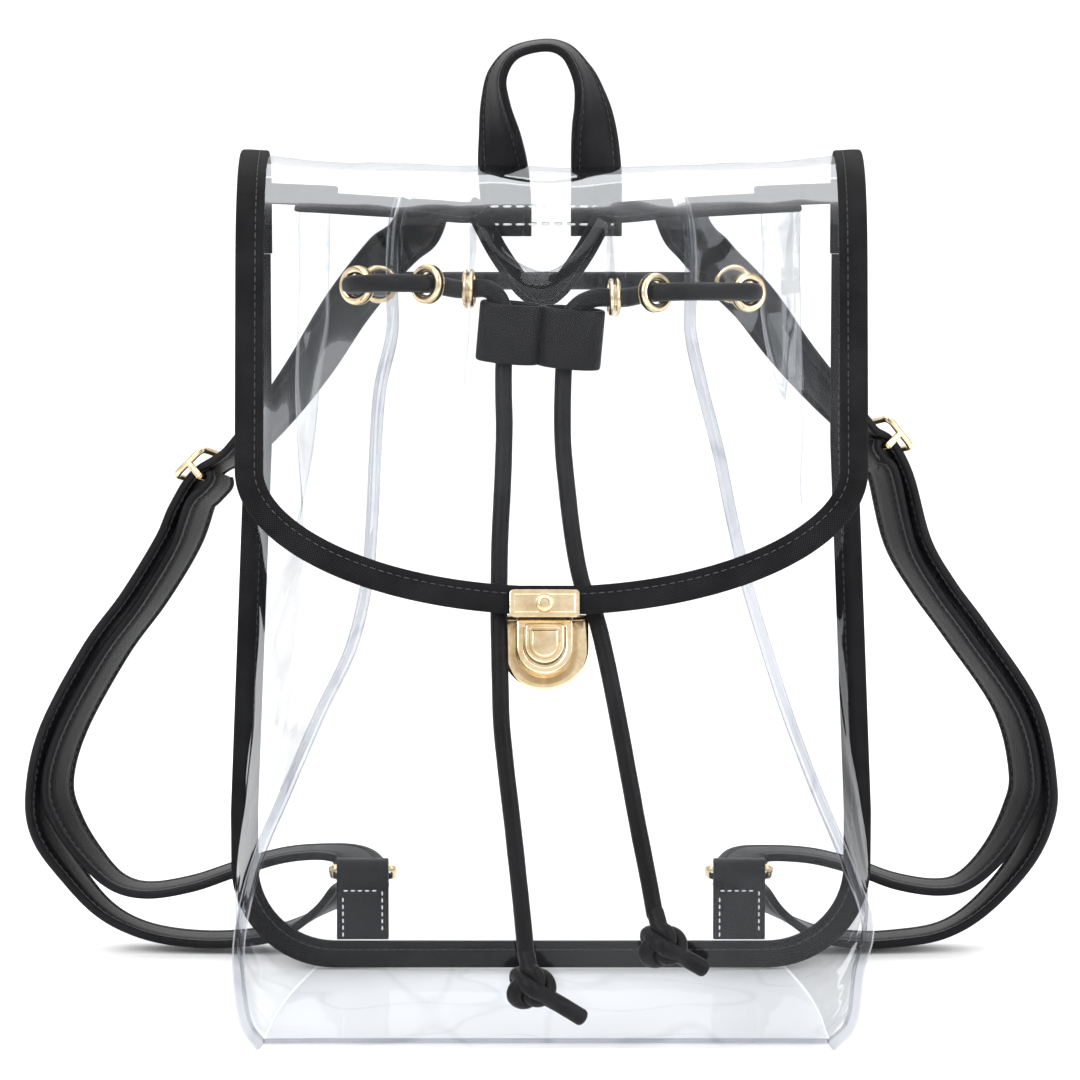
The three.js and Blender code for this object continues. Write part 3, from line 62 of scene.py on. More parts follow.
# Sizes in millimetres, as in the solids
BAG_DEPTH = 120
FRONT_HALF_WIDTH = 108
MOUTH_HEIGHT = 289
BACK_HALF_WIDTH = 117
BACK_TOP_HALF_WIDTH = 111
BACK_TAPER_LOW = 59
BACK_TAPER_HIGH = 196
BACK_CORNER_RADIUS = 38
BACK_SEAM_Z = 264
BACK_TOP_Z = 274
SHEET = 1
GAP = 0.3
BINDING_OUTER = 1.6
EDGE_INSET = 1.1
EDGE_BINDING_WIDTH = 10
RIM_BINDING_WIDTH = 7.5
SEAM_FIN = 4
RIM_START = 2.6
CORD_Z = 257
FOLD_START_Z = 243
FLAT_END_Z = 271
MOUTH_HALF_WIDTH = 51.5
MOUTH_SHIFT = -3.5
POCKET_DEPTH = 19
FLOP_ANGLE = 150
FLAP_HALF_WIDTH = 110.5
FLAP_CURVE_Z = 200
FLAP_BOTTOM_Z = 153.6
FLAP_TOP_Z = 303
FLAP_REACH = 110.5
FLAP_SAG = 5
FLAP_SIDE_DROP = 4
FLAP_BACK = -(SHEET + GAP)
GUSSET_BACK = BINDING_OUTER + GAP + SHEET
STRAP_WIDTH = 18.5
STRAP_THICKNESS = 3
STRAP_REACH = 192
STRAP_BACK = 40
STRAP_TOP_Z = 281
SEWN_BACK = FLAP_BACK - SHEET / 2 - GAP - STRAP_THICKNESS / 2
HANDLE_HEIGHT = 342
HANDLE_HALF_SPACING = 16.3
HANDLE_END_Z = 270
TAB_X = 69
TAB_TOP_Z = 40
TAB_THICKNESS = 2
WIRE_RADIUS = 1.3
RING_HALF_DEPTH = 6.5
RING_TILT = 30
CORD_RADIUS = 3.25
TAIL_RADIUS = 3


def place(x, forward, z):
    """A point from its place across, its distance in front of the back panel and its height."""
    return np.array([x, BAG_DEPTH / 2 - forward, z], float)


def mix(a, b, share):
    return a + (b - a) * share


def smooth(low, high, value):
    share = min(1.0, max(0.0, (value - low) / (high - low)))
    return share * share * (3 - 2 * share)


def unit(v):
    return v / max(1e-12, np.linalg.norm(v))


def refine(rows, steps):
    """More rows between the given ones, on one smooth curve through them."""
    rows = np.asarray(rows, float)
    ends = np.concatenate([2 * rows[:1] - rows[1:2], rows, 2 * rows[-1:] - rows[-2:-1]])
    out = []
    for k in range(len(rows) - 1):
        p0, p1, p2, p3 = ends[k:k + 4]
        for step in range(steps):
            t = step / steps
            out.append(0.5 * (2 * p1 + (p2 - p0) * t + (2 * p0 - 5 * p1 + 4 * p2 - p3) * t * t
                              + (3 * p1 - p0 - 3 * p2 + p3) * t ** 3))
    out.append(rows[-1])
    return np.array(out)


def between(t, t1, t2, p, q):
    """The point at t on the way from p at t1 to q at t2."""
    return (t2 - t) / (t2 - t1) * p + (t - t1) / (t2 - t1) * q


def spline(points, count):
    """Evenly spaced points on the centripetal curve through a few points."""
    points = [np.asarray(p, float) for p in points]
    points = [2 * points[0] - points[1]] + points + [2 * points[-1] - points[-2]]
    fine = []
    for k in range(1, len(points) - 2):
        p0, p1, p2, p3 = points[k - 1:k + 3]
        t0 = 0.0
        t1 = t0 + max(1e-4, np.linalg.norm(p1 - p0)) ** 0.5
        t2 = t1 + max(1e-4, np.linalg.norm(p2 - p1)) ** 0.5
        t3 = t2 + max(1e-4, np.linalg.norm(p3 - p2)) ** 0.5
        for step in range(16):
            t = mix(t1, t2, step / 16)
            middle = between(t, t1, t2, p1, p2)
            before = between(t, t0, t2, between(t, t0, t1, p0, p1), middle)
            after = between(t, t1, t3, middle, between(t, t2, t3, p2, p3))
            fine.append(between(t, t1, t2, before, after))
    fine.append(points[-2])
    return even(np.array(fine), count)


def even(line, count):
    """A line of points spaced evenly again."""
    run = run_of(line)
    return sampled(line, run, np.linspace(0, run[-1], count))


def way_at(degrees):
    """The two shares of a turn: across and up."""
    return math.cos(math.radians(degrees)), math.sin(math.radians(degrees))


def along_at(line, k, reach=1):
    """The direction of a line at one of its points."""
    return unit(line[min(k + reach, len(line) - 1)] - line[max(k - reach, 0)])


def run_of(line):
    """The length of a line of points up to each of its points."""
    return np.concatenate([[0], np.cumsum(np.linalg.norm(np.diff(line, axis=0), axis=1))])


def sampled(line, run, want):
    """Points of a line at the wanted lengths along it."""
    return np.array([[np.interp(w, run, line[:, i]) for i in range(line.shape[1])] for w in want])


def loft(rings, count, closed=False, base=0):
    """Faces between equal rings of points. A loft that isn't closed has a cap at each end."""
    faces = []
    for j in range(rings if closed else rings - 1):
        near, far = base + j * count, base + (j + 1) % rings * count
        for i in range(count):
            after = (i + 1) % count
            faces.append((near + i, near + after, far + after, far + i))
    if not closed:
        faces.append(tuple(base + i for i in reversed(range(count))))
        faces.append(tuple(base + (rings - 1) * count + i for i in range(count)))
    return faces


SHARP_ANGLE = math.radians(42)


def new_object(name, points, faces, material, uvs=None, body="root"):
    """A mesh from points in millimetres, on its body and slot. uvs gives one pair per point."""
    mesh = bpy.data.meshes.new(name)
    mesh.from_pydata([tuple(float(c) * MM for c in p) for p in points], [], [tuple(f) for f in faces])
    if uvs is not None:
        layer = mesh.uv_layers.new(name="run")
        order = np.zeros(len(mesh.loops), np.int32)
        mesh.loops.foreach_get("vertex_index", order)
        layer.data.foreach_set("uv", np.asarray(uvs, np.float32)[order].ravel())
    mesh.materials.append(material)
    mesh.polygons.foreach_set("use_smooth", [True] * len(mesh.polygons))
    mesh.validate()
    mesh.update()
    mesh.set_sharp_from_angle(angle=SHARP_ANGLE)
    obj = bpy.data.objects.new(name, mesh)
    bpy.context.scene.collection.objects.link(obj)
    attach(obj, body)
    return obj


# Front seams: height as a share of the mouth's, half widths and depth as shares of the body's
SEAM_TABLE = [
    (0.0062, 0.935, 0.9, 0.99), (0.035, 0.98, 0.96, 1.008), (0.097, 1, 0.98, 1.016),
    (0.156, 0.99, 1.01, 1.012), (0.235, 0.935, 0.935, 0.992), (0.315, 0.843, 0.843, 0.958),
    (0.405, 0.736, 0.75, 0.912), (0.478, 0.639, 0.685, 0.854), (0.554, 0.588, 0.622, 0.796),
    (0.63, 0.57, 0.575, 0.757), (0.706, 0.56, 0.532, 0.69), (0.779, 0.546, 0.48, 0.585),
]


def body_rows():
    rows = [(h * MOUTH_HEIGHT, -left * FRONT_HALF_WIDTH, right * FRONT_HALF_WIDTH, depth * BAG_DEPTH, 0)
            for h, left, right, depth in SEAM_TABLE]
    low, high = MOUTH_SHIFT - MOUTH_HALF_WIDTH, MOUTH_SHIFT + MOUTH_HALF_WIDTH
    upper = [
        (FOLD_START_Z, 0, 0.5, 0), (CORD_Z, 0, 0.475, 0), (FLAT_END_Z, 0, 0.45, 0),
        (MOUTH_HEIGHT - RIM_BINDING_WIDTH + EDGE_INSET, 1, 0.416, 0.22), (MOUTH_HEIGHT, 3, 0.39, 0.4),
    ]
    rows += [(z, low + inward, high - inward, depth * BAG_DEPTH, lean)
             for z, inward, depth, lean in upper]
    return rows


# Folds of the front from a seam to the middle: share of the half width low down and at the
# mouth, how far the fold stands out as a share of the pocket, and how far the rim flops in
FRONT_FOLDS = [
    (1, 1, 0, 0), (0.83, 0.8, 0.458, 0), (0.68, 0.62, 0.87, 0), (0.62, 0.555, 1, 0),
    (0.58, 0.508, 0.87, 0), (0.5, 0.494, 0.41, 0), (0.41, 0.48, -0.05, 0),
    (0.34, 0.42, -0.33, 0.35), (0.18, 0.24, -0.5, 0.75),
]
FRONT_MIDDLE = (0, 0, -0.57, 1)
# Folds of a gusset from the front seam to the back: share low down, and at the mouth its
# shares of the way out to the back edge and back to it
GUSSET_FOLDS = [
    (0, 0, 0), (0.14, 0.23, 0.151), (0.3, 0.55, 0.361), (0.42, 0.694, 0.456),
    (0.55, 0.6, 0.63), (0.68, 0.47, 0.77), (0.84, 0.74, 0.9), (1, 1, 1),
]
PLEAT_START = 0.42
POCKET_START = 0.62
GUSSET_BULGE = 3


def flop(z, share):
    """How far the rim has flopped in: it bends evenly from the fold's start to the rim."""
    rise = z - FOLD_START_Z
    if rise <= 0 or share == 0:
        return 0, 0
    bend = share * math.radians(FLOP_ANGLE) / (MOUTH_HEIGHT - FOLD_START_Z)
    return math.sin(bend * rise) / bend - rise, (1 - math.cos(bend * rise)) / bend


def fin_points(row, side, is_front):
    z, left, right, depth, _ = row
    out = unit(np.array([side, 1.0]))
    aside = unit(np.array([-side, 1.0])) * (1 if is_front else -1) * (SHEET + GAP) / 2
    root = np.array([left if side < 0 else right, depth]) + aside
    tip = root + out * SEAM_FIN
    return place(*root, z), place(*tip, z)


def front_point(row, side, fold):
    z, left, right, depth, lean = row
    low_share, mouth_share, out, flop_share = fold
    formed = smooth(POCKET_START * MOUTH_HEIGHT, FOLD_START_Z, z)
    middle = mix(left, right, 0.5)
    half = (right - left) / 2
    low, high = middle + side * low_share * half, middle + side * mouth_share * half
    up, inward = flop(z, flop_share)
    forward = depth + formed * (1 - lean) * out * POCKET_DEPTH - inward
    return place(mix(low, high, formed), forward, z + up)


def front_grid():
    rows = []
    for row in body_rows():
        left_root, left_tip = fin_points(row, -1, True)
        right_root, right_tip = fin_points(row, 1, True)
        folds = FRONT_FOLDS[1:]
        rows.append([left_tip, left_root] + [front_point(row, -1, f) for f in folds]
                    + [front_point(row, 1, FRONT_MIDDLE)]
                    + [front_point(row, 1, f) for f in reversed(folds)] + [right_root, right_tip])
    return np.array(rows)


def back_half_width(z):
    share = min(1, max(0, (z - BACK_TAPER_LOW) / (BACK_TAPER_HIGH - BACK_TAPER_LOW)))
    side = mix(BACK_HALF_WIDTH, BACK_TOP_HALF_WIDTH, share)
    if z >= BACK_CORNER_RADIUS:
        return side
    drop = BACK_CORNER_RADIUS - z
    return side - BACK_CORNER_RADIUS + math.sqrt(BACK_CORNER_RADIUS ** 2 - drop ** 2)


def gusset_point(row, side, fold):
    z, left, right, depth, _ = row
    low_share, out, back = fold
    formed = smooth(PLEAT_START * MOUTH_HEIGHT, FOLD_START_Z, z)
    start = left if side < 0 else right
    end = side * (back_half_width(z) - EDGE_BINDING_WIDTH / 2)
    low = (mix(start, end, low_share) + side * GUSSET_BULGE * math.sin(math.pi * low_share),
           mix(depth, GUSSET_BACK, low_share))
    high = (mix(start, end, out), mix(depth, GUSSET_BACK, back))
    return place(mix(low[0], high[0], formed), mix(low[1], high[1], formed), z)


def gusset_grid(side):
    rows = []
    for row in body_rows():
        root, tip = fin_points(row, side, False)
        rows.append([tip, root] + [gusset_point(row, side, f) for f in GUSSET_FOLDS[1:]])
    return np.array(rows)


def spot_on_grid(grid, column, z):
    """A point on a sheet at a share of a column and a height, and the sheet's face there."""
    i = int(math.floor(column))
    along = grid[:, i] * (1 - (column - i)) + grid[:, i + 1] * (column - i)
    j = next(k for k in range(len(along)) if along[k][2] > z) - 1
    rise = (z - along[j][2]) / (along[j + 1][2] - along[j][2])
    up = along[j + 1] - along[j]
    across = grid[j][i + 1] - grid[j][i]
    return mix(along[j], along[j + 1], rise), unit(np.cross(across, up))


FRONT_GROMMETS = [
    ("grommet_front_outer_left", 2.14, 262), ("grommet_front_inner_left", 6, 260),
    ("grommet_front_inner_right", 14, 257), ("grommet_front_outer_right", 17.86, 259),
]
GUSSET_GROMMETS = [("grommet_gusset_left", -1, 2.12, 259), ("grommet_gusset_right", 1, 2.45, 256)]
BACK_GROMMETS = [("grommet_back_left", -62, 253), ("grommet_back_right", 65.7, 253)]

FRONT = front_grid()
GUSSETS = {-1: gusset_grid(-1), 1: gusset_grid(1)}
SPOTS = {name: spot_on_grid(FRONT, column, z) for name, column, z in FRONT_GROMMETS}
for grommet_name, grommet_side, grommet_column, grommet_z in GUSSET_GROMMETS:
    spot_point, spot_normal = spot_on_grid(GUSSETS[grommet_side], grommet_column, grommet_z)
    SPOTS[grommet_name] = (spot_point, spot_normal * grommet_side)
for grommet_name, grommet_x, grommet_z in BACK_GROMMETS:
    SPOTS[grommet_name] = (place(grommet_x, 0, grommet_z), np.array([0, 1.0, 0]))


# Materials. Every one is built from nodes; the weave follows the mesh's own run
class Look:
    """A material that is built up node by node."""

    def __init__(self, name):
        self.material = bpy.data.materials.new(name)
        self.material.use_nodes = True
        self.tree = self.material.node_tree
        self.tree.nodes.clear()
        self.place = self.node("TexCoord").outputs["Object"]

    def node(self, kind, inputs=(), **settings):
        """A node of a kind. Each input gets a value, or is linked to another node's output."""
        made = self.tree.nodes.new("ShaderNode" + kind)
        for key, value in settings.items():
            setattr(made, key, value)
        for key, value in dict(inputs).items():
            if isinstance(value, bpy.types.NodeSocket):
                self.tree.links.new(value, made.inputs[key])
            else:
                made.inputs[key].default_value = value
        return made

    def noise(self, scale, detail, roughness):
        return self.node("TexNoise", {"Vector": self.place, "Scale": scale, "Detail": detail,
                                      "Roughness": roughness}).outputs["Fac"]

    def calc(self, operation, *values, clamp=False):
        return self.node("Math", enumerate(values), operation=operation, use_clamp=clamp).outputs[0]

    def ramp(self, source, *stops):
        """Colours from a value: each stop is (value, colour)."""
        made = self.node("ValToRGB", {"Fac": source})
        elements = made.color_ramp.elements
        for element, (position, colour) in zip(elements, (stops[0], stops[-1])):
            element.position, element.color = position, (*colour, 1)
        for position, colour in stops[1:-1]:
            elements.new(position).color = (*colour, 1)
        return made.outputs["Color"]

    def bump(self, height, strength, distance):
        return self.node("Bump", {"Strength": strength, "Distance": distance,
                                  "Height": height}).outputs[0]

    def done(self, shader):
        self.node("OutputMaterial", {"Surface": shader.outputs[0]})
        return self.material

    def surface(self, colour, roughness, linked, metallic=0.0, specular=0.5, more=()):
        """One shader with plain values, and then the links that go over them."""
        shader = self.node("BsdfPrincipled", {"Base Color": (*colour, 1), "Roughness": roughness,
                                              "Metallic": metallic, "Specular IOR Level": specular,
                                              **dict(more)})
        for key, source in linked.items():
            self.tree.links.new(source, shader.inputs[key])
        return self.done(shader)


def mix_colour(a, b, share):
    return tuple(mix(x, y, share) for x, y in zip(a, b))


def clear_material(name, tint, edge_tint, haze, gloss=1.0):
    """Soft clear sheet: see-through with a cool tint at a slant, thin grey lines of painted crease shade in
    that tint, and a glossy wavy face.
    """
    look = Look(name)
    slant = look.ramp(look.node("LayerWeight", {"Blend": 0.35}).outputs["Facing"], (0.0, tint),
                      (0.45, tint), (0.8, mix_colour(tint, edge_tint, 0.5)), (1.0, edge_tint))
    # Painted shade: thin grey lines along a noise contour stand in for the creases of the clear sheet,
    # multiplied into its see-through tint.
    ridge = look.calc("ABSOLUTE", look.calc("SUBTRACT", look.noise(17.0, 1.0, 0.45), 0.5))
    fold = look.ramp(ridge, (0.0, (0.925, 0.93, 0.937)), (0.022, (1, 1, 1)))
    tint_and_fold_shade = look.node("Mix", {0: 1.0, 6: slant, 7: fold}, data_type="RGBA", blend_type="MULTIPLY")
    see = look.node("BsdfTransparent", {"Color": tint_and_fold_shade.outputs[2]})
    wave = look.bump(look.noise(26.0, 1.5, 0.45), 0.25, 0.003)
    shine = look.node("BsdfPrincipled", {"Base Color": (0.7, 0.72, 0.75, 1), "Roughness": 0.06,
                                         "Metallic": 1.0, "Normal": wave})
    fresnel = look.node("Fresnel", {"IOR": 1.48, "Normal": wave}).outputs[0]
    smear = look.ramp(look.noise(9.0, 1.5, 0.6), (0.42, (0, 0, 0)), (0.75, (haze, haze, haze)))
    total = look.calc("ADD", look.calc("MULTIPLY", fresnel, 0.32 * gloss), smear, clamp=True)
    return look.done(look.node("MixShader", {0: total, 1: see.outputs[0], 2: shine.outputs[0]}))


def weave_material(name, dark, light, pitch, depth):
    """Woven tape: threads along and across the mesh's own run, with fuzz, and painted highlight on the
    threads' crowns with painted shade between them.
    """
    look = Look(name)
    split = look.node("SeparateXYZ", {0: look.node("TexCoord").outputs["UV"]})
    along, across = [look.calc("SINE", look.calc("MULTIPLY", split.outputs[k], 2 * math.pi / pitch))
                     for k in (0, 1)]
    height = look.calc("MULTIPLY_ADD", look.calc("MULTIPLY", along, across), 0.5, 0.5)
    rough = look.calc("MULTIPLY_ADD", look.noise(1400.0, 2.0, 0.6), 0.45, height)
    # Painted highlight and shade: the colour follows the weave's height, paler on the crowns and darker
    # between the threads.
    colour = look.ramp(look.calc("MULTIPLY", height, look.noise(60.0, 3.0, 0.6)), (0.05, dark),
                       (0.3, mix_colour(dark, light, 0.35)), (0.62, light))
    return look.surface(dark, 0.72, {"Base Color": colour, "Normal": look.bump(rough, 0.9, depth)},
                        specular=0.07, more={"Sheen Weight": 0.012, "Sheen Roughness": 0.45})


def grain_material(name, base, light, roughness, grain_scale, depth, crease):
    """Coated fabric with a fine pebbled grain, faint creases and a paler bloom on high spots."""
    look = Look(name)
    cells = look.node("TexVoronoi", {"Scale": grain_scale, "Vector": look.place})
    height = look.calc("MULTIPLY_ADD", look.noise(grain_scale * 2.3, 3.0, 0.6), 0.5,
                       cells.outputs["Distance"])
    total = look.calc("MULTIPLY_ADD", look.noise(55.0, 5.0, 0.65), crease, height)
    bloom = look.noise(26.0, 4.0, 0.6)
    colour = look.ramp(bloom, (0.3, base), (0.55, mix_colour(base, light, 0.3)), (0.78, light))
    gloss = look.ramp(bloom, (0.25, (roughness - 0.07,) * 3), (0.75, (roughness + 0.1,) * 3))
    return look.surface(base, roughness, {"Base Color": colour, "Roughness": gloss,
                                          "Normal": look.bump(total, 0.55, depth)},
                        specular=0.12, more={"Coat Weight": 0.005, "Coat Roughness": 0.35})


def metal_material(name, base, dark, roughness):
    """Plated metal: fine polish marks, and a warmer tone in the less polished patches."""
    look = Look(name)
    patch = look.noise(140.0, 4.0, 0.6)
    colour = look.ramp(patch, (0.32, dark), (0.6, base))
    gloss = look.ramp(patch, (0.3, (roughness + 0.12,) * 3), (0.7, (roughness,) * 3))
    polish = look.bump(look.noise(900.0, 2.0, 0.5), 0.12, 0.0002)
    return look.surface(base, roughness, {"Base Color": colour, "Roughness": gloss, "Normal": polish},
                        metallic=1.0)


def thread_material(name, base, light):
    look = Look(name)
    twist = look.noise(1800.0, 2.0, 0.5)
    return look.surface(base, 0.62, {"Base Color": look.ramp(twist, (0.35, base), (0.7, light)),
                                     "Normal": look.bump(twist, 0.6, 0.0003)}, specular=0.4)


CLEAR = clear_material("clear_sheet", (0.962, 0.966, 0.97), (0.58, 0.6, 0.63), 0.03)
CLEAR_SEAM = clear_material("clear_seam", (0.76, 0.77, 0.79), (0.36, 0.38, 0.4), 0.06, 1.2)
WEAVE = weave_material("binding_weave", (0.003, 0.003, 0.0034), (0.024, 0.024, 0.026), 0.0011, 0.00035)
LEATHER = grain_material("strap_grain", (0.0038, 0.0038, 0.0045), (0.014, 0.014, 0.016), 0.36,
                         1500.0, 0.00022, 0.9)
CORD_SKIN = grain_material("cord_grain", (0.0035, 0.0035, 0.004), (0.016, 0.016, 0.018), 0.4,
                           1300.0, 0.0002, 1.6)
GOLD = metal_material("pale_gold", (0.86, 0.7, 0.47), (0.62, 0.46, 0.26), 0.13)
BLACK_THREAD = thread_material("black_thread", (0.012, 0.012, 0.014), (0.07, 0.07, 0.075))
WHITE_THREAD = thread_material("white_thread", (0.55, 0.56, 0.58), (0.85, 0.86, 0.88))


def frames_along(line, first_side):
    """For each point of a line: its direction, a side carried along without twist, and the third."""
    ways = [along_at(line, k) for k in range(len(line))]
    side = unit(first_side - ways[0] * np.dot(first_side, ways[0]))
    sides = []
    for way in ways:
        side = unit(side - way * np.dot(side, way))
        sides.append(side)
    return ways, sides, [np.cross(w, s) for w, s in zip(ways, sides)]


END_TURNS = (80, 60, 35)
END_SHARE = 0.55
LUMP = 0.025
LUMP_ALONG = 0.11
LUMP_ROUND = 0.7
RIDGE_ANGLE = math.pi * 1.3
RIDGE_SPREAD = 0.28
DIP_BESIDE = 0.55
DIP_SPREAD = 0.16


def tube(name, line, radius, material, sides=20, seam=0.0, first=(0, 0, 1.0)):
    """A round tube with soft ends. A sewn one has a low ridge along its seam."""
    line = np.asarray(line, float)
    ways, us, vs = frames_along(line, np.array(first, float))
    before, after = [], []
    for across, beyond in map(way_at, END_TURNS):
        before.append((line[0] - ways[0] * radius * beyond * END_SHARE, 0, across))
        after.insert(0, (line[-1] + ways[-1] * radius * beyond * END_SHARE, len(line) - 1, across))
    rings = before + [(point, k, 1.0) for k, point in enumerate(line)] + after
    points, uvs, run, before = [], [], 0.0, None
    for centre, k, scale in rings:
        if before is not None:
            run += float(np.linalg.norm(centre - before))
        before = centre
        for i in range(sides):
            angle = 2 * math.pi * i / sides
            swell = 1 + LUMP * noise.noise(Vector((run * LUMP_ALONG, i * LUMP_ROUND, 3.1)))
            if seam:
                swell += seam * math.exp(-((angle - RIDGE_ANGLE) / RIDGE_SPREAD) ** 2)
                swell -= 0.5 * seam * math.exp(-((angle - RIDGE_ANGLE - DIP_BESIDE) / DIP_SPREAD) ** 2)
            outward = math.cos(angle) * us[k] + math.sin(angle) * vs[k]
            points.append(centre + radius * scale * swell * outward)
            uvs.append((run * MM, angle * radius * MM))
    return new_object(name, points, loft(len(rings), sides), material, uvs)


THREAD_STATIONS = [(0.0, -0.5, 0.35), (0.12, 0.35, 0.85), (0.5, 0.75, 1.0), (0.88, 0.35, 0.85),
                   (1.0, -0.5, 0.35)]
THREAD_SIDES = 6
DASH_START = 0.1


def stitches(name, runs, radius, material):
    """One object of short thread loops. Each run is a list of (start, end, face direction)."""
    points, faces = [], []
    for start, end, face in runs:
        way = unit(end - start)
        side = unit(np.cross(face, way))
        base = len(points)
        for share, lift, size in THREAD_STATIONS:
            centre = mix(start, end, share) + face * radius * lift
            for i in range(THREAD_SIDES):
                across, up = way_at(360 * i / THREAD_SIDES)
                points.append(centre + radius * size * (across * side + up * face))
        faces += loft(len(THREAD_STATIONS), THREAD_SIDES, base=base)
    return new_object(name, points, faces, material)


def dashes(line, faces_out, pitch, share, lift):
    """Stitches along a line: every pitch there is one that covers a share of it."""
    line, faces_out = np.asarray(line, float), np.asarray(faces_out, float)
    run = run_of(line)
    out = []
    for k in range(int(run[-1] / pitch)):
        a, b = k * pitch + pitch * DASH_START, k * pitch + pitch * (DASH_START + share)
        face = unit(sampled(faces_out, run, [(a + b) / 2])[0])
        start, end = sampled(line, run, [a, b])
        out.append((start + face * lift, end + face * lift, face))
    return out


# Cords first. The routes are the same as the solids', in metres
TAIL_ROUTES = {
    "left": [
        (-0.0155, 0.066, 0.2439), (-0.0166, 0.0664, 0.236), (-0.0168, 0.0716, 0.226),
        (-0.0165, 0.0796, 0.214), (-0.017, 0.0896, 0.196), (-0.018, 0.0972, 0.176),
        (-0.0183, 0.1022, 0.158), (-0.0183, 0.105, 0.149), (-0.0181, 0.1078, 0.139),
        (-0.0178, 0.1116, 0.127), (-0.0174, 0.114, 0.115), (-0.0158, 0.1178, 0.099),
        (-0.0134, 0.1215, 0.079), (-0.011, 0.1246, 0.057), (-0.0096, 0.1262, 0.043),
        (-0.0088, 0.1272, 0.0341),
    ],
    "right": [
        (0.005, 0.066, 0.2439), (0.0044, 0.0664, 0.2335), (0.004, 0.0724, 0.224),
        (0.004, 0.0816, 0.2085), (0.0056, 0.0912, 0.192), (0.0078, 0.0976, 0.175),
        (0.0108, 0.101, 0.161), (0.015, 0.1032, 0.1515), (0.0186, 0.1074, 0.138),
        (0.0214, 0.1114, 0.125), (0.0238, 0.1148, 0.113), (0.027, 0.119, 0.096),
        (0.03, 0.122, 0.08), (0.0332, 0.1246, 0.064), (0.036, 0.127, 0.049),
    ],
}
KNOTS = {
    "left": ((-7.4, 130.2, 24.6), (10.5, 128.6, 13)),
    "right": ((38.2, 130.2, 39.4), (53, 128.8, 30.5)),
}
KNOT_TURN = {"left": 110, "right": 113}
KNOT_TUBE = 3.05
KNOT_RING = 3.75
KNOT_LOBE = 2.45
KNOT_RISE = 3.0
KNOT_STEPS = 72
KNOT_LOBES = 3 / 2
KNOT_ENTRY = 1.5
KNOT_EXIT = 7.5
KNOT_CROSSING = (0, -6.2, 1.0)
ROUTE_POINTS = 140
SEAM_RIDGE = 0.07


def knot_line(label):
    """The line of an overhand knot: in from the cord, round twice, and out to the short end."""
    centre, tip = KNOTS[label]
    centre, tip = place(*centre), place(*tip)
    entry = place(*(v / MM for v in TAIL_ROUTES[label][-1]))
    start = math.radians(KNOT_TURN[label])
    line = [entry + np.array([0, 0, KNOT_ENTRY])]
    for step in range(2, KNOT_STEPS - 2):
        angle = start - 4 * math.pi * step / KNOT_STEPS
        lobe = KNOT_LOBES * (start - angle)
        ring = KNOT_RING + KNOT_LOBE * math.cos(lobe)
        line.append(centre + np.array([
            ring * math.cos(angle), -KNOT_RISE * math.sin(lobe), ring * math.sin(angle)]))
    way = unit(tip - centre)
    line += [centre + np.array(KNOT_CROSSING), mix(centre + way * KNOT_EXIT, tip, 0.3), tip]
    return spline(line, 150)


for label in ("left", "right"):
    route = [place(x / MM, forward / MM, z / MM) for x, forward, z in TAIL_ROUTES[label]]
    fine = spline(route, ROUTE_POINTS)
    tail = tube("tail_" + label, fine, TAIL_RADIUS, CORD_SKIN, 24, SEAM_RIDGE, (1, 0, 0))
    knot = tube("overhand_knot_" + label, knot_line(label), KNOT_TUBE, CORD_SKIN, seam=0.06)
    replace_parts(tail, "cord_tail_" + label)
    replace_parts(knot, "knot_" + label)

CORD_STRAIGHT = 3.8
CORD_CLEAR = 8.2
CORD_OVER_SEAM = 9.8
CORD_TURN = 5
CORD_BEHIND = 8.2
SLEEVE_ROUTE = {
    -1: [(-15.5, 66, 245.2), (-16.4, 66, 251), (-18.8, 66, 257.4), (-22.6, 65.6, 260.3)],
    1: [(5, 66, 246), (6.4, 66, 250.5), (10.2, 66, 254.9), (15.2, 65.6, 257)],
}


def off(spot, distance):
    """A point in front of a hole, or behind it for a distance below zero."""
    return spot[0] + spot[1] * distance


def side_route(side):
    end = "left" if side < 0 else "right"
    first, second = SPOTS["grommet_front_inner_" + end], SPOTS["grommet_front_outer_" + end]
    third, fourth = SPOTS["grommet_gusset_" + end], SPOTS["grommet_back_" + end]
    fourth = (fourth[0], np.array([0, 1.0, 0]))
    along = unit(third[0] - second[0])
    out = unit(second[1] + third[1])
    back = fourth[0] + np.array([0, CORD_BEHIND, 0])
    return [place(*p) for p in SLEEVE_ROUTE[side]] + [
        first[0], off(first, -CORD_STRAIGHT),
        off(second, -CORD_STRAIGHT), second[0], off(second, CORD_STRAIGHT),
        off(second, CORD_CLEAR) + along * CORD_TURN,
        mix(second[0], third[0], 0.5) + out * CORD_OVER_SEAM,
        off(third, CORD_CLEAR) - along * CORD_TURN,
        off(third, CORD_STRAIGHT), third[0], off(third, -CORD_STRAIGHT),
        mix(off(third, -4 * CORD_STRAIGHT), off(fourth, -4 * CORD_STRAIGHT), 0.4),
        off(fourth, -2 * CORD_STRAIGHT), off(fourth, -CORD_STRAIGHT), fourth[0], off(fourth, CORD_STRAIGHT),
        back - np.array([side * CORD_TURN * 0.8, 0, 0]), back - np.array([side * CORD_TURN * 2.4, 0, 0]),
    ]


drawn = side_route(-1) + [place(-20, -CORD_BEHIND, 253), place(20, -CORD_BEHIND, 253)] + side_route(1)[::-1]
held_cord = tube("held_cord", spline(drawn, 3 * ROUTE_POINTS), CORD_RADIUS, CORD_SKIN,
                 seam=SEAM_RIDGE)
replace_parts(held_cord, "drawstring")


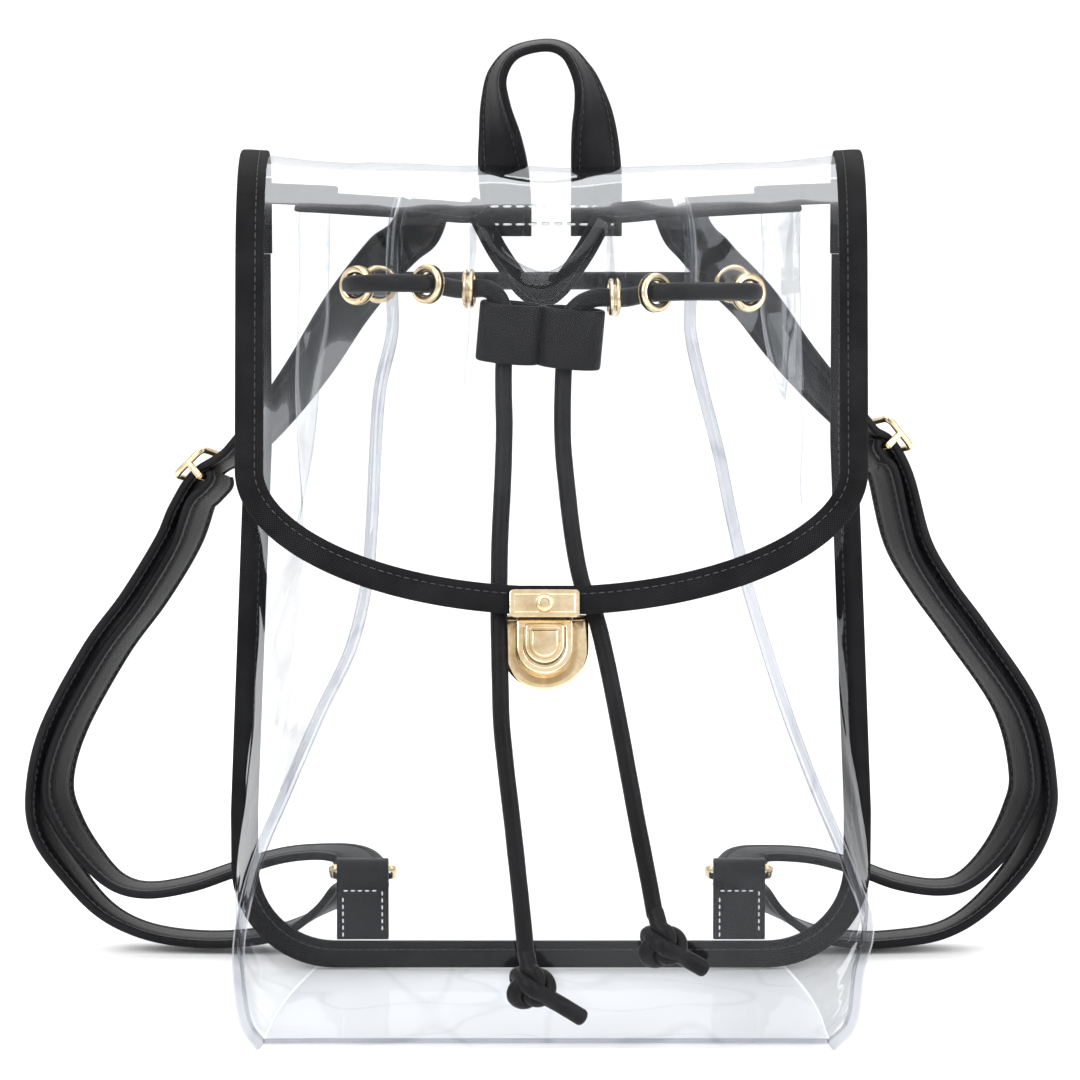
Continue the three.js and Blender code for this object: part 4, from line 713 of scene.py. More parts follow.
# Clear sheets, finer than the solids and with small waves in them
def grid_normals(grid):
    down = np.gradient(grid, axis=0)
    over = np.gradient(grid, axis=1)
    normal = np.cross(over, down)
    return normal / np.maximum(1e-9, np.linalg.norm(normal, axis=2, keepdims=True))


WAVE_SCALE = 0.03
WAVE_RISE = 0.55
FINE_WAVE = 0.45
FINE_SCALE = 2.7
STILL_EDGE = 6


def waved(grid, amount, seed):
    """Pushes a grid's inner points out and in along its face, less towards its edges."""
    normal = grid_normals(grid)
    out = grid.copy()
    rows, columns = grid.shape[:2]
    for j in range(rows):
        for i in range(columns):
            near = min(j, rows - 1 - j, i, columns - 1 - i)
            p = grid[j, i]
            spot = Vector((p[0] * WAVE_SCALE, p[1] * WAVE_SCALE + seed, p[2] * WAVE_SCALE * WAVE_RISE))
            push = noise.noise(spot) + FINE_WAVE * noise.noise(spot * FINE_SCALE)
            out[j, i] = p + normal[j, i] * amount * push * min(1.0, near / STILL_EDGE)
    return out


def grid_piece(name, grid, cad):
    """A clear sheet from a grid of points, in place of one of the solids."""
    rows, columns = grid.shape[:2]
    faces = [(j * columns + i, j * columns + i + 1, (j + 1) * columns + i + 1, (j + 1) * columns + i)
             for j in range(rows - 1) for i in range(columns - 1)]
    piece = new_object(name, grid.reshape(-1, 3), faces, CLEAR)
    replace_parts(piece, cad)


def refine_grid(grid, down, over):
    tall = refine(grid, down)
    return refine(tall.transpose(1, 0, 2), over).transpose(1, 0, 2)


front_plain = refine_grid(FRONT[:, 1:-1], 6, 5)
grid_piece("front_sheet", waved(front_plain, 1.5, 1.0), "front_panel")
gusset_fine = {}
for side, label in SIDES:
    gusset_fine[side] = refine_grid(GUSSETS[side][:, 1:], 6, 6)
    grid_piece("gusset_sheet_" + label, waved(gusset_fine[side], 1.4, 5.0 + side), "gusset_" + label)


def strip(name, stations, section, material):
    """A solid along stations of (point, out, face). The section is a closed row of (out, face)."""
    count = len(section)
    points, uvs = [], []
    run, before = 0.0, None
    girth = [0.0]
    for k in range(1, count):
        girth.append(girth[-1] + math.dist(section[k], section[k - 1]))
    for point, out, face in stations:
        if before is not None:
            run += float(np.linalg.norm(point - before))
        before = point
        for k, (a, b) in enumerate(section):
            points.append(point + out * a + face * b)
            uvs.append((run * MM, girth[k] * MM))
    return new_object(name, points, loft(len(stations), count), material, uvs)


def stitch_groove(width):
    """Where the row of stitches runs on a tape: a share of its width from its inner edge."""
    return -width + EDGE_INSET + width * 0.3


def binding_section(width, half):
    """A folded tape: soft outer fold, a dip at the row of stitches, a turned inner edge."""
    inner, groove = -width + EDGE_INSET, stitch_groove(width)
    top = [(inner, half * 0.25), (inner + 0.15, half * 0.8), (inner + 0.7, half), (groove - 0.7, half * 1.02),
           (groove - 0.25, half * 0.86), (groove + 0.25, half * 0.86), (groove + 0.7, half * 1.02),
           (mix(groove, EDGE_INSET, 0.55), half * 1.06), (EDGE_INSET - 0.9, half * 0.97),
           (EDGE_INSET - 0.3, half * 0.75), (EDGE_INSET, half * 0.35)]
    return top + [(a, -b) for a, b in reversed(top)]


def edge_stations(edge, inside):
    """Stations along an edge of a sheet, from its points and the points just inside."""
    out = []
    for k in range(len(edge)):
        along = along_at(edge, k)
        outward = edge[k] - inside[k]
        outward = unit(outward - along * np.dot(outward, along))
        out.append((edge[k], outward, unit(np.cross(along, outward))))
    return out


def follow(stations):
    """Turns any face direction that flips from one station to the next."""
    fixed = [stations[0]]
    for point, out, face in stations[1:]:
        fixed.append((point, out, face if np.dot(face, fixed[-1][2]) > 0 else -face))
    return fixed


TAPE_PITCH = 3.1
TAPE_DASH = 0.72


def both_faces(stations, across, lift, pitch, share, gap):
    """Rows of stitches on both faces of a band, at a place across it."""
    runs = []
    for sign in (1, -1):
        line = [p + o * across + f * sign * lift for p, o, f in stations]
        runs += dashes(line, [f * sign for _, _, f in stations], pitch, share, gap)
    return runs


def tape(name, stations, width, half, cad):
    stations = follow(stations)
    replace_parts(strip(name, stations, binding_section(width, half), WEAVE), cad)
    runs = both_faces(stations, stitch_groove(width), half * 0.9, TAPE_PITCH, TAPE_DASH, 0.02)
    stitches(name + "_stitches", runs, 0.22, BLACK_THREAD)


TO_FRONT = np.array([0, -1.0, 0.1])
RIM_BLEND = 22
RIM_HALF = 1.25
EDGE_HALF = 1.5


def upright(stations, edge):
    """The same stations with the tape's broad face to the front, except near its two ends."""
    n = len(stations)
    fixed = []
    for k, (point, out, face) in enumerate(stations):
        along = along_at(edge, k, 2)
        across = unit(np.cross(TO_FRONT, along)) * (1 if edge[-1][0] > edge[0][0] else -1)
        share = smooth(0, RIM_BLEND, min(k, n - 1 - k))
        new_out = unit(mix(out, across, share))
        fixed.append((point, new_out, unit(np.cross(along, new_out))))
    return fixed


def rim_tape(name, grid, start, end, count, cad, is_front=False):
    top, below = grid[-1], grid[-2]
    run = run_of(top)
    both = sampled(np.concatenate([top, below], axis=1), run, np.linspace(start, run[-1] - end, count))
    stations = edge_stations(both[:, :3], both[:, 3:])
    if is_front:
        stations = upright(stations, both[:, :3])
    tape(name, stations, RIM_BINDING_WIDTH, RIM_HALF, cad)


rim_tape("front_rim_tape", front_plain, RIM_START, RIM_START, 200, "rim_binding_front", True)
rim_tape("gusset_rim_tape_left", gusset_fine[-1], RIM_START, 0.0, 90, "rim_binding_left")
rim_tape("gusset_rim_tape_right", gusset_fine[1], RIM_START, 0.0, 90, "rim_binding_right")

# Sealed seams between the front and the gussets, each a slim rounded rib
SEAM_SECTION = [(-0.4, 1.15), (3.2, 1.15), (3.75, 0.8), (4.0, 0.0), (3.75, -0.8), (3.2, -1.15), (-0.4, -1.15)]
LOW_RIB_RADIUS = 0.95
LOW_RIB_LIFT = np.array([0, 0, 0.4])
for side, label in SIDES:
    column = 0 if side < 0 else -1
    root = refine((FRONT[:, 1 if side < 0 else -2] + GUSSETS[side][:, 1]) / 2, 6)
    tip = refine((FRONT[:, column] + GUSSETS[side][:, 0]) / 2, 6)
    rib_stations = follow(edge_stations(root, 2 * root - tip))
    strip("seam_rib_" + label, rib_stations, SEAM_SECTION, CLEAR_SEAM)
low_line = [p + LOW_RIB_LIFT for p in refine(FRONT[0][1:-1], 6)]
tube("front_low_rib", low_line, LOW_RIB_RADIUS, CLEAR_SEAM, 12)

# Bottom sheet, between the lowest rows of the two gussets
BOTTOM_STEPS = 24
left_fine, right_fine = refine(GUSSETS[-1][0][1:], 6), refine(GUSSETS[1][0][1:], 6)
bottom_rows = []
for step in range(BOTTOM_STEPS + 1):
    at = step / BOTTOM_STEPS * (len(left_fine) - 1)
    k = min(int(at), len(left_fine) - 2)
    left = mix(left_fine[k], left_fine[k + 1], at - k)
    right = mix(right_fine[k], right_fine[k + 1], at - k)
    bottom_rows.append([mix(left, right, i / 30) * [1, 1, 0] + [0, 0, 0.5] for i in range(31)])
grid_piece("bottom_sheet", np.array(bottom_rows), "bottom_panel")

# Back sheet with its bound edge
back_heights = list(EDGE_INSET + (BACK_CORNER_RADIUS - EDGE_INSET) * (1 - math.cos(math.radians(a)))
                    for a in range(0, 91, 6)) + list(np.linspace(44, BACK_TOP_Z, 40))
back_rows = []
for z in back_heights:
    half = back_half_width(max(z, 0.01)) - EDGE_INSET
    if z > BACK_SEAM_Z - GAP:
        half = FLAP_HALF_WIDTH - EDGE_BINDING_WIDTH - 2 * GAP
    back_rows.append([place(half * (i / 20 - 1), 0, z) for i in range(41)])
grid_piece("back_sheet", waved(np.array(back_rows), 0.5, 21.0), "back_panel")

back_edge = []
radius = BACK_CORNER_RADIUS - EDGE_INSET
corner = BACK_HALF_WIDTH - BACK_CORNER_RADIUS
for z in np.linspace(BACK_SEAM_Z - GAP, BACK_CORNER_RADIUS, 46):
    back_edge.append(place(-(back_half_width(z) - EDGE_INSET), 0, z))
for turn in range(6, 91, 6):
    across, up = way_at(180 + turn)
    back_edge.append(place(-corner + radius * across, 0, BACK_CORNER_RADIUS + radius * up))
for x in np.linspace(-corner, 0, 16)[1:]:
    back_edge.append(place(x, 0, EDGE_INSET))
back_edge += [p * [-1, 1, 1] for p in reversed(back_edge[:-1])]
back_edge = np.array(back_edge)
back_stations = [(p, unit(np.cross(along_at(back_edge, k), [0, 1.0, 0])), np.array([0, -1.0, 0]))
                 for k, p in enumerate(back_edge)]
if back_stations[0][1][0] > 0:
    back_stations = [(p, -o, f) for p, o, f in back_stations]
tape("back_tape", back_stations, EDGE_BINDING_WIDTH, EDGE_HALF, "back_binding")

# Flap
FLAP_PROFILE = refine([
    (FLAP_BACK / FLAP_REACH, BACK_SEAM_Z / FLAP_TOP_Z, 0), (FLAP_BACK / FLAP_REACH, 0.91, 0),
    (FLAP_BACK / FLAP_REACH, 0.957, 0), (0.002, 0.972, 0.2), (0.055, 0.985, 0.8), (0.15, 0.997, 1),
    (0.26, 1, 0.9), (0.385, 0.995, 0.5), (0.5, 0.982, 0.2), (0.59, 0.96, 0.05), (0.655, 0.934, 0),
    (0.7, 0.898, 0), (0.735, 0.851, 0), (0.828, 0.715, 0), (0.87, 0.66, 0), (0.914, 0.607, 0),
    (0.96, 0.5545, 0), (1, 0.5069, 0),
], 5)
FLAP_CURVE_END = 84


def flap_point(forward, z, half, sag, share):
    full = FLAP_HALF_WIDTH - EDGE_INSET
    drop = FLAP_SIDE_DROP * smooth(0, FLAP_REACH, forward) * (share * half / full) ** 2
    return place(share * half, forward - drop, z - sag * FLAP_SAG * (1 - share * share))


full_half = FLAP_HALF_WIDTH - EDGE_INSET
crest = int(np.argmax(FLAP_PROFILE[:, 1]))
front_profile = FLAP_PROFILE[crest:]
flap_rows = [(f * FLAP_REACH, h * FLAP_TOP_Z, full_half, sag) for f, h, sag in FLAP_PROFILE
             if f < 0.5 or h * FLAP_TOP_Z > FLAP_CURVE_Z + 1]
for step in range(37):
    angle = math.radians(FLAP_CURVE_END) * step / 36
    share = math.sin(angle) / math.sin(math.radians(FLAP_CURVE_END))
    z = FLAP_CURVE_Z - (FLAP_CURVE_Z - FLAP_BOTTOM_Z) * share
    forward = np.interp(-z / FLAP_TOP_Z, -front_profile[:, 1], front_profile[:, 0]) * FLAP_REACH
    flap_rows.append((forward, z, full_half * math.cos(angle), 0))
flap_grid = np.array([[flap_point(*row, i / 20 - 1) for i in range(41)] for row in flap_rows])
grid_piece("flap_sheet", waved(flap_grid, 1.0, 33.0), "flap")
left_edge, right_edge = flap_grid[:, 0], flap_grid[:, -1]
flap_edge = even(np.concatenate([left_edge, flap_grid[-1, 1:-1], right_edge[::-1]]), 420)
centre_row = np.array([flap_point(f, z, 1e-6, s, 0) for f, z, _, s in flap_rows])
curve_middle_z = FLAP_CURVE_Z + 20
curve_middle = place(0, np.interp(-curve_middle_z / FLAP_TOP_Z, -front_profile[:, 1], front_profile[:, 0])
                     * FLAP_REACH, curve_middle_z)
flap_stations = []
for k, p in enumerate(flap_edge):
    along = along_at(flap_edge, k)
    nearest = centre_row[np.argmin(np.linalg.norm(centre_row - p * [0, 1, 1], axis=1))]
    out = p - (nearest if p[2] > FLAP_CURVE_Z else curve_middle)
    out = unit(out - along * np.dot(out, along))
    flap_stations.append((p, out, unit(np.cross(along, out))))
tape("flap_tape", flap_stations, EDGE_BINDING_WIDTH, EDGE_HALF, "flap_binding")


# Straps, handle and tabs
STRAP_DOWN = [
    (0.3, 0.938, 0.29, 0.938, 0.225, -8), (0.335, 0.908, 0.325, 0.91, 0.345, 0),
    (0.39, 0.857, 0.385, 0.867, 0.42, 11), (0.458, 0.782, 0.453, 0.803, 0.5, 22),
    (0.526, 0.718, 0.526, 0.743, 0.575, 32), (0.59, 0.669, 0.585, 0.7, 0.63, 42),
    (0.655, 0.638, 0.625, 0.679, 0.675, 50), (0.697, 0.595, 0.66, 0.635, 0.7, 54),
    (0.726, 0.551, 0.695, 0.551, 0.73, 55), (0.792, 0.477, 0.745, 0.491, 0.76, 55),
    (0.868, 0.405, 0.81, 0.43, 0.78, 55), (0.952, 0.297, 0.91, 0.325, 0.8, 56),
    (0.981, 0.212, 0.944, 0.225, 0.82, 58), (0.973, 0.153, 0.94, 0.17, 0.825, 64),
    (0.922, 0.097, 0.905, 0.114, 0.83, 72), (0.865, 0.052, 0.83, 0.054, 0.83, 80),
    (0.8, 0.026, 0.755, 0.022, 0.82, 88), (0.72, 0.0135, 0.66, 0.0115, 0.8, 90),
    (0.62, 0.012, 0.585, 0.0115, 0.77, 90), (0.52, 0.024, 0.51, 0.022, 0.73, 84),
    (0.44, 0.055, 0.435, 0.052, 0.68, 62), (0.385, 0.086, 0.382, 0.084, 0.585, 28),
]
STRAP_UP = [
    (0.385, 0.131, 0.382, 0.131, 0.585, 28), (0.44, 0.133, 0.435, 0.131, 0.68, 62),
    (0.52, 0.126, 0.51, 0.125, 0.73, 84), (0.61, 0.106, 0.59, 0.109, 0.77, 88),
    (0.69, 0.087, 0.665, 0.09, 0.79, 90), (0.775, 0.077, 0.745, 0.081, 0.81, 88),
    (0.835, 0.087, 0.8, 0.09, 0.82, 80), (0.885, 0.12, 0.856, 0.128, 0.825, 71),
    (0.93, 0.167, 0.898, 0.18, 0.825, 63), (0.951, 0.219, 0.914, 0.231, 0.82, 58),
    (0.922, 0.293, 0.882, 0.319, 0.8, 56), (0.841, 0.394, 0.784, 0.419, 0.78, 55),
    (0.765, 0.466, 0.72, 0.48, 0.76, 55), (0.7, 0.54, 0.668, 0.543, 0.73, 55),
    (0.673, 0.58, 0.638, 0.606, 0.7, 54),
]
BUCKLE_ROW = 6
SEWN_ROWS = [(0.236, 1), (0.257, 0.965)]
HANDLE_SEWN_SHARE = 0.17


def band_row(x, forward, z, side, degrees):
    """A row of a band: its middle and its way across, from straight across (0) to straight back (90)."""
    across, back = way_at(degrees)
    return np.concatenate([place(x, forward, z), [across * -side, back, 0]])


def strap_row(row, side):
    across, high = (row[0], row[1]) if side < 0 else (row[2], row[3])
    return band_row(side * across * STRAP_REACH, -row[4] * STRAP_BACK, high * STRAP_TOP_Z, side, row[5])


def ring_bars():
    back = SHEET / 2 + GAP + TAB_THICKNESS + GAP + WIRE_RADIUS
    near = (back, TAB_TOP_Z - TAB_THICKNESS - GAP - WIRE_RADIUS)
    span = 2 * (RING_HALF_DEPTH - WIRE_RADIUS)
    tilt = math.radians(RING_TILT)
    return near, (near[0] + span * math.cos(tilt), near[1] - span * math.sin(tilt))


STRAP_PITCH = 3.0
STRAP_DASH = 0.75
STRAP_SEAM_INSET = 2.9


def band(name, rows, cad):
    """A sewn strap: rolled edges, a dip at each row of stitches, and a slightly crowned middle."""
    rows = np.asarray(rows, float)
    line, sides = rows[:, :3], rows[:, 3:]
    stations = []
    for k in range(len(line)):
        along = along_at(line, k)
        wide = unit(sides[k] - along * np.dot(sides[k], along))
        stations.append((line[k], wide, np.cross(wide, along)))
    half, tall = STRAP_WIDTH / 2, STRAP_THICKNESS / 2
    seam = half - STRAP_SEAM_INSET
    left_half = [(-half, 0.1), (-half + 0.12, 0.55), (-half + 0.5, 0.9), (-half + 1.1, 1.04),
                 (-seam - 0.8, 1.0), (-seam - 0.3, 0.72), (-seam + 0.3, 0.72), (-seam + 0.9, 0.95),
                 (-seam * 0.4, 1.03)]
    top = [(a, tall * b) for a, b in left_half] + [(-a, tall * b) for a, b in reversed(left_half)]
    section = top + [(a, -b) for a, b in reversed(top)]
    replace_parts(strip(name, stations, section, LEATHER), cad)
    runs = []
    for across in (-seam, seam):
        runs += both_faces(stations, across, tall * 0.78, STRAP_PITCH, STRAP_DASH, 0.0)
    stitches(name + "_stitches", runs, 0.2, BLACK_THREAD)


BAR_LIFT = STRAP_THICKNESS / 2 + GAP * 2 + WIRE_RADIUS
BAR_BEND = WIRE_RADIUS + GAP + STRAP_THICKNESS / 2
WRAP_TURNS = (-90, -135, -180, -225, -270)


def buckle_spot(side):
    """Where the buckle sits on the strap: its middle and its three directions."""
    rows = [strap_row(r, side) for r in STRAP_DOWN[BUCKLE_ROW - 1:BUCKLE_ROW + 2]]
    along = unit(rows[2][:3] - rows[0][:3])
    wide = unit(rows[1][3:] - along * np.dot(rows[1][3:], along))
    out = unit(np.cross(along, wide))
    return rows[1][:3], along, wide, -out if out[2] < 0 else out


def buckle_end(side):
    """The last rows of the strap's return run, turned round the buckle's lower bar."""
    middle, along, wide, out = buckle_spot(side)
    way = [(10, BAR_LIFT + BAR_BEND + 0.6), (5, BAR_LIFT + BAR_BEND + 0.2)]
    for across, up in map(way_at, (0, 40, 80)):
        way.append((-BAR_BEND * up, BAR_LIFT + BAR_BEND * across))
    return [np.concatenate([middle + along * down - out * deep, wide]) for down, deep in way]


for side, label in SIDES:
    near, far = ring_bars()
    sewn = [band_row(side * across * STRAP_REACH, SEWN_BACK, high * STRAP_TOP_Z, side, 0)
            for across, high in SEWN_ROWS]
    wrap = [band_row(side * TAB_X, -(far[0] + BAR_BEND * across), far[1] + BAR_BEND * up, side, 0)
            for across, up in map(way_at, WRAP_TURNS)]
    rows = sewn + [strap_row(r, side) for r in STRAP_DOWN] + wrap
    rows += [strap_row(r, side) for r in STRAP_UP[:-1]] + buckle_end(side)
    band("shoulder_strap_" + label, refine(rows, 7), "strap_" + label)

HANDLE_TABLE = [
    (-1.05, 0.3, 0.858, 8), (-1.12, 0.28, 0.895, 35), (-1.21, 0.2, 0.933, 60), (-1.16, 0.11, 0.965, 76),
    (-0.8, 0.08, 0.988, 85), (-0.12, 0.08, 0.996, 92), (0.34, 0.08, 0.989, 98), (0.66, 0.11, 0.967, 107),
    (0.84, 0.2, 0.94, 122), (0.94, 0.28, 0.906, 147), (1, 0.3, 0.858, 172),
]
sewn_top = mix(HANDLE_END_Z, HANDLE_HEIGHT, HANDLE_SEWN_SHARE)


def handle_leg(side, z, turn):
    return band_row(side * HANDLE_HALF_SPACING, SEWN_BACK, z, -1, -turn)


handle_rows = [handle_leg(-1, HANDLE_END_Z, 0), handle_leg(-1, sewn_top, 0)] + [
    band_row(a * HANDLE_HALF_SPACING, -b * STRAP_WIDTH, h * (HANDLE_HEIGHT - STRAP_THICKNESS / 2), -1, -t)
    for a, b, h, t in HANDLE_TABLE
] + [handle_leg(1, sewn_top, 180), handle_leg(1, HANDLE_END_Z, 180)]
band("carrying_handle", refine(handle_rows, 9), "handle")


# The folded tab low on the back on each side, with its white box of stitches, and its wire ring
TAB_LOW = EDGE_BINDING_WIDTH + GAP
TAB_HALF_WIDTH = (STRAP_WIDTH + 0.5) / 2
TAB_PITCH = 2.6
TAB_DASH = 0.6
WIRE_CORNER = 2.5
WIRE_SIDES = 16
CORNER_STEPS = 8
BUCKLE_HALF_HEIGHT = 7


def add_tab(label, side):
    near, _ = ring_bars()
    front = SHEET / 2 + GAP
    loop = WIRE_RADIUS + GAP + TAB_THICKNESS
    outline = [(front, TAB_LOW), (front + 2 * TAB_THICKNESS, TAB_LOW)]
    for across, up in map(way_at, np.linspace(-63, 180, 28)):
        outline.append((near[0] + loop * across, near[1] + loop * up))
    half = TAB_HALF_WIDTH
    middle = np.mean(outline, axis=0)
    points = []
    for x, inset in ((-half, 0.35), (-half + 0.15, 0.12), (-half + 0.5, 0.0), (half - 0.5, 0.0),
                     (half - 0.15, 0.12), (half, 0.35)):
        for b, z in outline:
            away = unit(middle - np.array([b, z]))
            points.append(place(side * TAB_X + x, -(b + away[0] * inset), z + away[1] * inset))
    faces = loft(len(points) // len(outline), len(outline))
    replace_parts(new_object("ring_tab_" + label, points, faces, LEATHER), "tab_" + label)
    runs = []
    for back, toward in ((front - 1.0, -1.0), (front + 2 * TAB_THICKNESS, 1.0)):
        face = np.array([0, toward, 0])
        low, high, across = TAB_LOW + 1.0, TAB_LOW + 18.5, half - 2.3
        corners = [(-across, low), (-across, high), (across, high), (across, low)]
        for (x1, z1), (x2, z2) in zip(corners, corners[1:]):
            line = [place(side * TAB_X + mix(x1, x2, t), -back, mix(z1, z2, t))
                    for t in np.linspace(0, 1, 20)]
            runs += dashes(line, [face] * 20, TAB_PITCH, TAB_DASH, 0.02)
    stitches("tab_stitches_" + label, runs, 0.27, WHITE_THREAD)


def wire_loop(half_width, half_depth):
    """Centre line of a closed wire with round corners, flat in X and Y."""
    out = []
    for sx, sy, start in ((1, 1, 0), (-1, 1, 90), (-1, -1, 180), (1, -1, 270)):
        for k in range(CORNER_STEPS + 1):
            across, up = way_at(start + 90 * k / CORNER_STEPS)
            out.append(np.array([sx * (half_width - WIRE_CORNER) + WIRE_CORNER * across,
                                 sy * (half_depth - WIRE_CORNER) + WIRE_CORNER * up, 0.0]))
    return out


def round_about(centre, side, other):
    """A ring of points at the wire's radius round a point."""
    ways = [way_at(360 * i / WIRE_SIDES) for i in range(WIRE_SIDES)]
    return [centre + WIRE_RADIUS * (a * side + b * other) for a, b in ways]


def wire_mesh(line):
    points = []
    up = np.array([0, 0, 1.0])
    for k in range(len(line)):
        way = unit(line[(k + 1) % len(line)] - line[k - 1])
        points += round_about(line[k], np.cross(way, up), up)
    return points, loft(len(line), WIRE_SIDES, closed=True)


def bar_mesh(start, end):
    way = unit(end - start)
    first = np.array([0, 0, 1.0]) if abs(way[2]) < 0.9 else np.array([1.0, 0, 0])
    _, sides, others = frames_along([start, end], first)
    points = round_about(start, sides[0], others[0]) + round_about(end, sides[0], others[0])
    return points, loft(2, WIRE_SIDES)


def joined(name, parts, turn, centre, material, cad, body="root"):
    """Several meshes in one piece, turned by a matrix and set at a point, in place of a solid."""
    points, faces = [], []
    for some_points, some_faces in parts:
        base = len(points)
        points += [centre + turn @ p for p in some_points]
        faces += [tuple(base + i for i in face) for face in some_faces]
    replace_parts(new_object(name, points, faces, material, body=body), cad)


def lean(tilt):
    """The matrix of a turn about the X axis."""
    return np.array([[1, 0, 0], [0, math.cos(tilt), -math.sin(tilt)], [0, math.sin(tilt), math.cos(tilt)]])


for side, label in SIDES:
    add_tab(label, side)
    near, far = ring_bars()
    half_ring = TAB_HALF_WIDTH + 2 * GAP + WIRE_RADIUS
    ring_middle = place(side * TAB_X, -(near[0] + far[0]) / 2, (near[1] + far[1]) / 2)
    joined("wire_ring_" + label, [wire_mesh(wire_loop(half_ring, RING_HALF_DEPTH - WIRE_RADIUS))],
           lean(math.radians(-RING_TILT)), ring_middle, GOLD, "ring_" + label)

    middle, along, wide, out = buckle_spot(side)
    half_frame = STRAP_WIDTH / 2 + 2 * GAP + WIRE_RADIUS
    loop = [p + [0, 0, BAR_LIFT] for p in wire_loop(half_frame, BUCKLE_HALF_HEIGHT)]
    bars = [(-half_frame, -BAR_LIFT, half_frame, -BAR_LIFT)]
    bars += [(end * half_frame, -BAR_LIFT - WIRE_RADIUS * 0.6, end * half_frame, BAR_LIFT) for end in (-1, 1)]
    parts = [wire_mesh(loop)] + [bar_mesh(np.array([x1, 0, z1]), np.array([x2, 0, z2]))
                                 for x1, z1, x2, z2 in bars]
    joined("slide_buckle_" + label, parts, np.array([wide, np.cross(out, wide), out]).T, middle, GOLD,
           "buckle_" + label)


# Grommets: a rolled collar on both sides of the sheet
COLLAR_STEPS = 48
COLLAR_MIDDLE = 5.5
COLLAR_ROLL = 1.5
COLLAR_RISE = 1.3
COLLAR_START = [0.3, 0.2, 0.9]
collar_arc = [(COLLAR_MIDDLE + COLLAR_ROLL * across, 0.75 + COLLAR_RISE * up)
              for across, up in map(way_at, range(0, 181, 20))]
collar_upper = [(4.95, 0.62), (6.95, 0.62)] + collar_arc
COLLAR_PROFILE = collar_upper + [(r, -h) for r, h in reversed(collar_upper)]

for name, (point, normal) in SPOTS.items():
    side = unit(np.cross(normal, COLLAR_START))
    other = np.cross(normal, side)
    points = []
    for k in range(COLLAR_STEPS):
        across, up = way_at(360 * k / COLLAR_STEPS)
        points += [point + (across * side + up * other) * r + normal * h for r, h in COLLAR_PROFILE]
    collar = new_object(name.replace("grommet", "collar"), points,
                        loft(COLLAR_STEPS, len(COLLAR_PROFILE), closed=True), GOLD)
    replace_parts(collar, name)

# Lock, in its own leaning place on the front sheet
LOCK_X = -2.4
LOCK_Z = 138
LOCK_HALF_WIDTH = 15.4
LOCK_TOP = 12.5
LOCK_BOTTOM = -14
LOCK_PLATE = 1.2
BODY_HALF_WIDTH = 9.8
BODY_TOP = 9.6
BODY_BOTTOM = -9.4
BODY_SET_BACK = 1.5
BUTTON_HALF_WIDTH = 6.9
BUTTON_TOP = 8.2
BUTTON_BOTTOM = -5.7
BUTTON_DEPTH = 3.2
TONGUE_HALF_WIDTH = 12.3
TONGUE_HEIGHT = 9.8
FLAP_SLACK = 0.35


def front_middle(z):
    rows = body_rows()
    return np.interp(z, [r[0] for r in rows], [r[3] for r in rows])


rise = LOCK_HALF_WIDTH / 2
lock_forward = front_middle(LOCK_Z)
tilt = math.atan2(front_middle(LOCK_Z - rise) - front_middle(LOCK_Z + rise), 2 * rise)
lock_turn = lean(-tilt)
lock_centre = place(LOCK_X, lock_forward, LOCK_Z)
flap_out = (FLAP_REACH - lock_forward) * math.cos(tilt) + (FLAP_BOTTOM_Z - LOCK_Z) * math.sin(tilt)
flap_up = -(FLAP_REACH - lock_forward) * math.sin(tilt) + (FLAP_BOTTOM_Z - LOCK_Z) * math.cos(tilt)


SHIELD_CORNER = 1.2


def shield(half, top, bottom):
    """A flat outline with a straight top, softened corners and a half-round bottom."""
    out = [(half * across, bottom + half + half * up)
           for across, up in map(way_at, np.linspace(180, 360, 33))]
    for end, start in ((1, 0), (-1, 90)):
        for across, up in map(way_at, np.linspace(start, start + 90, 6)):
            out.append((end * (half - SHIELD_CORNER) + SHIELD_CORNER * across,
                        top - SHIELD_CORNER + SHIELD_CORNER * up))
    return out


def inset(outline, distance):
    """An outline moved in by a distance, towards its inside."""
    n = len(outline)
    low, high = np.min(outline, axis=0) + distance, np.max(outline, axis=0) - distance
    out = []
    for k in range(n):
        a, b = np.array(outline[k - 1]), np.array(outline[(k + 1) % n])
        way = unit(b - a)
        moved = np.array([outline[k][0] - way[1] * distance, outline[k][1] + way[0] * distance])
        out.append(tuple(np.clip(moved, low, high)))
    return out


def plate(outline, steps):
    """Rings of a plate from its outline: each step is (inset, distance out)."""
    points = []
    for distance, out in steps:
        ring = inset(outline, distance) if distance else outline
        points += [np.array([x, -out, z]) for x, z in ring]
    return points, loft(len(steps), len(outline))


near_plate = SHEET / 2 + GAP
body_out = flap_out - BODY_SET_BACK
base = shield(LOCK_HALF_WIDTH, LOCK_TOP, LOCK_BOTTOM)
raised = shield(BODY_HALF_WIDTH, BODY_TOP, BODY_BOTTOM)
pocket = BODY_HALF_WIDTH - BUTTON_HALF_WIDTH - GAP
plate_face = near_plate + LOCK_PLATE
joined("lock_body", [
    plate(base, [(0.5, near_plate), (0.1, near_plate + 0.15), (0.0, near_plate + 0.5),
                 (0.1, near_plate + 0.95), (0.5, plate_face), (1.6, plate_face + 0.15),
                 (2.2, plate_face)]),
    plate(raised, [(-0.6, plate_face - 0.3), (-0.1, plate_face + 0.5), (0.0, body_out - 0.9),
                   (0.25, body_out - 0.25), (0.8, body_out), (pocket - 0.7, body_out),
                   (pocket - 0.15, body_out - 0.3), (pocket, body_out - 0.9),
                   (pocket, body_out - BUTTON_DEPTH + 0.2)]),
], lock_turn, lock_centre, GOLD, "lock_case")
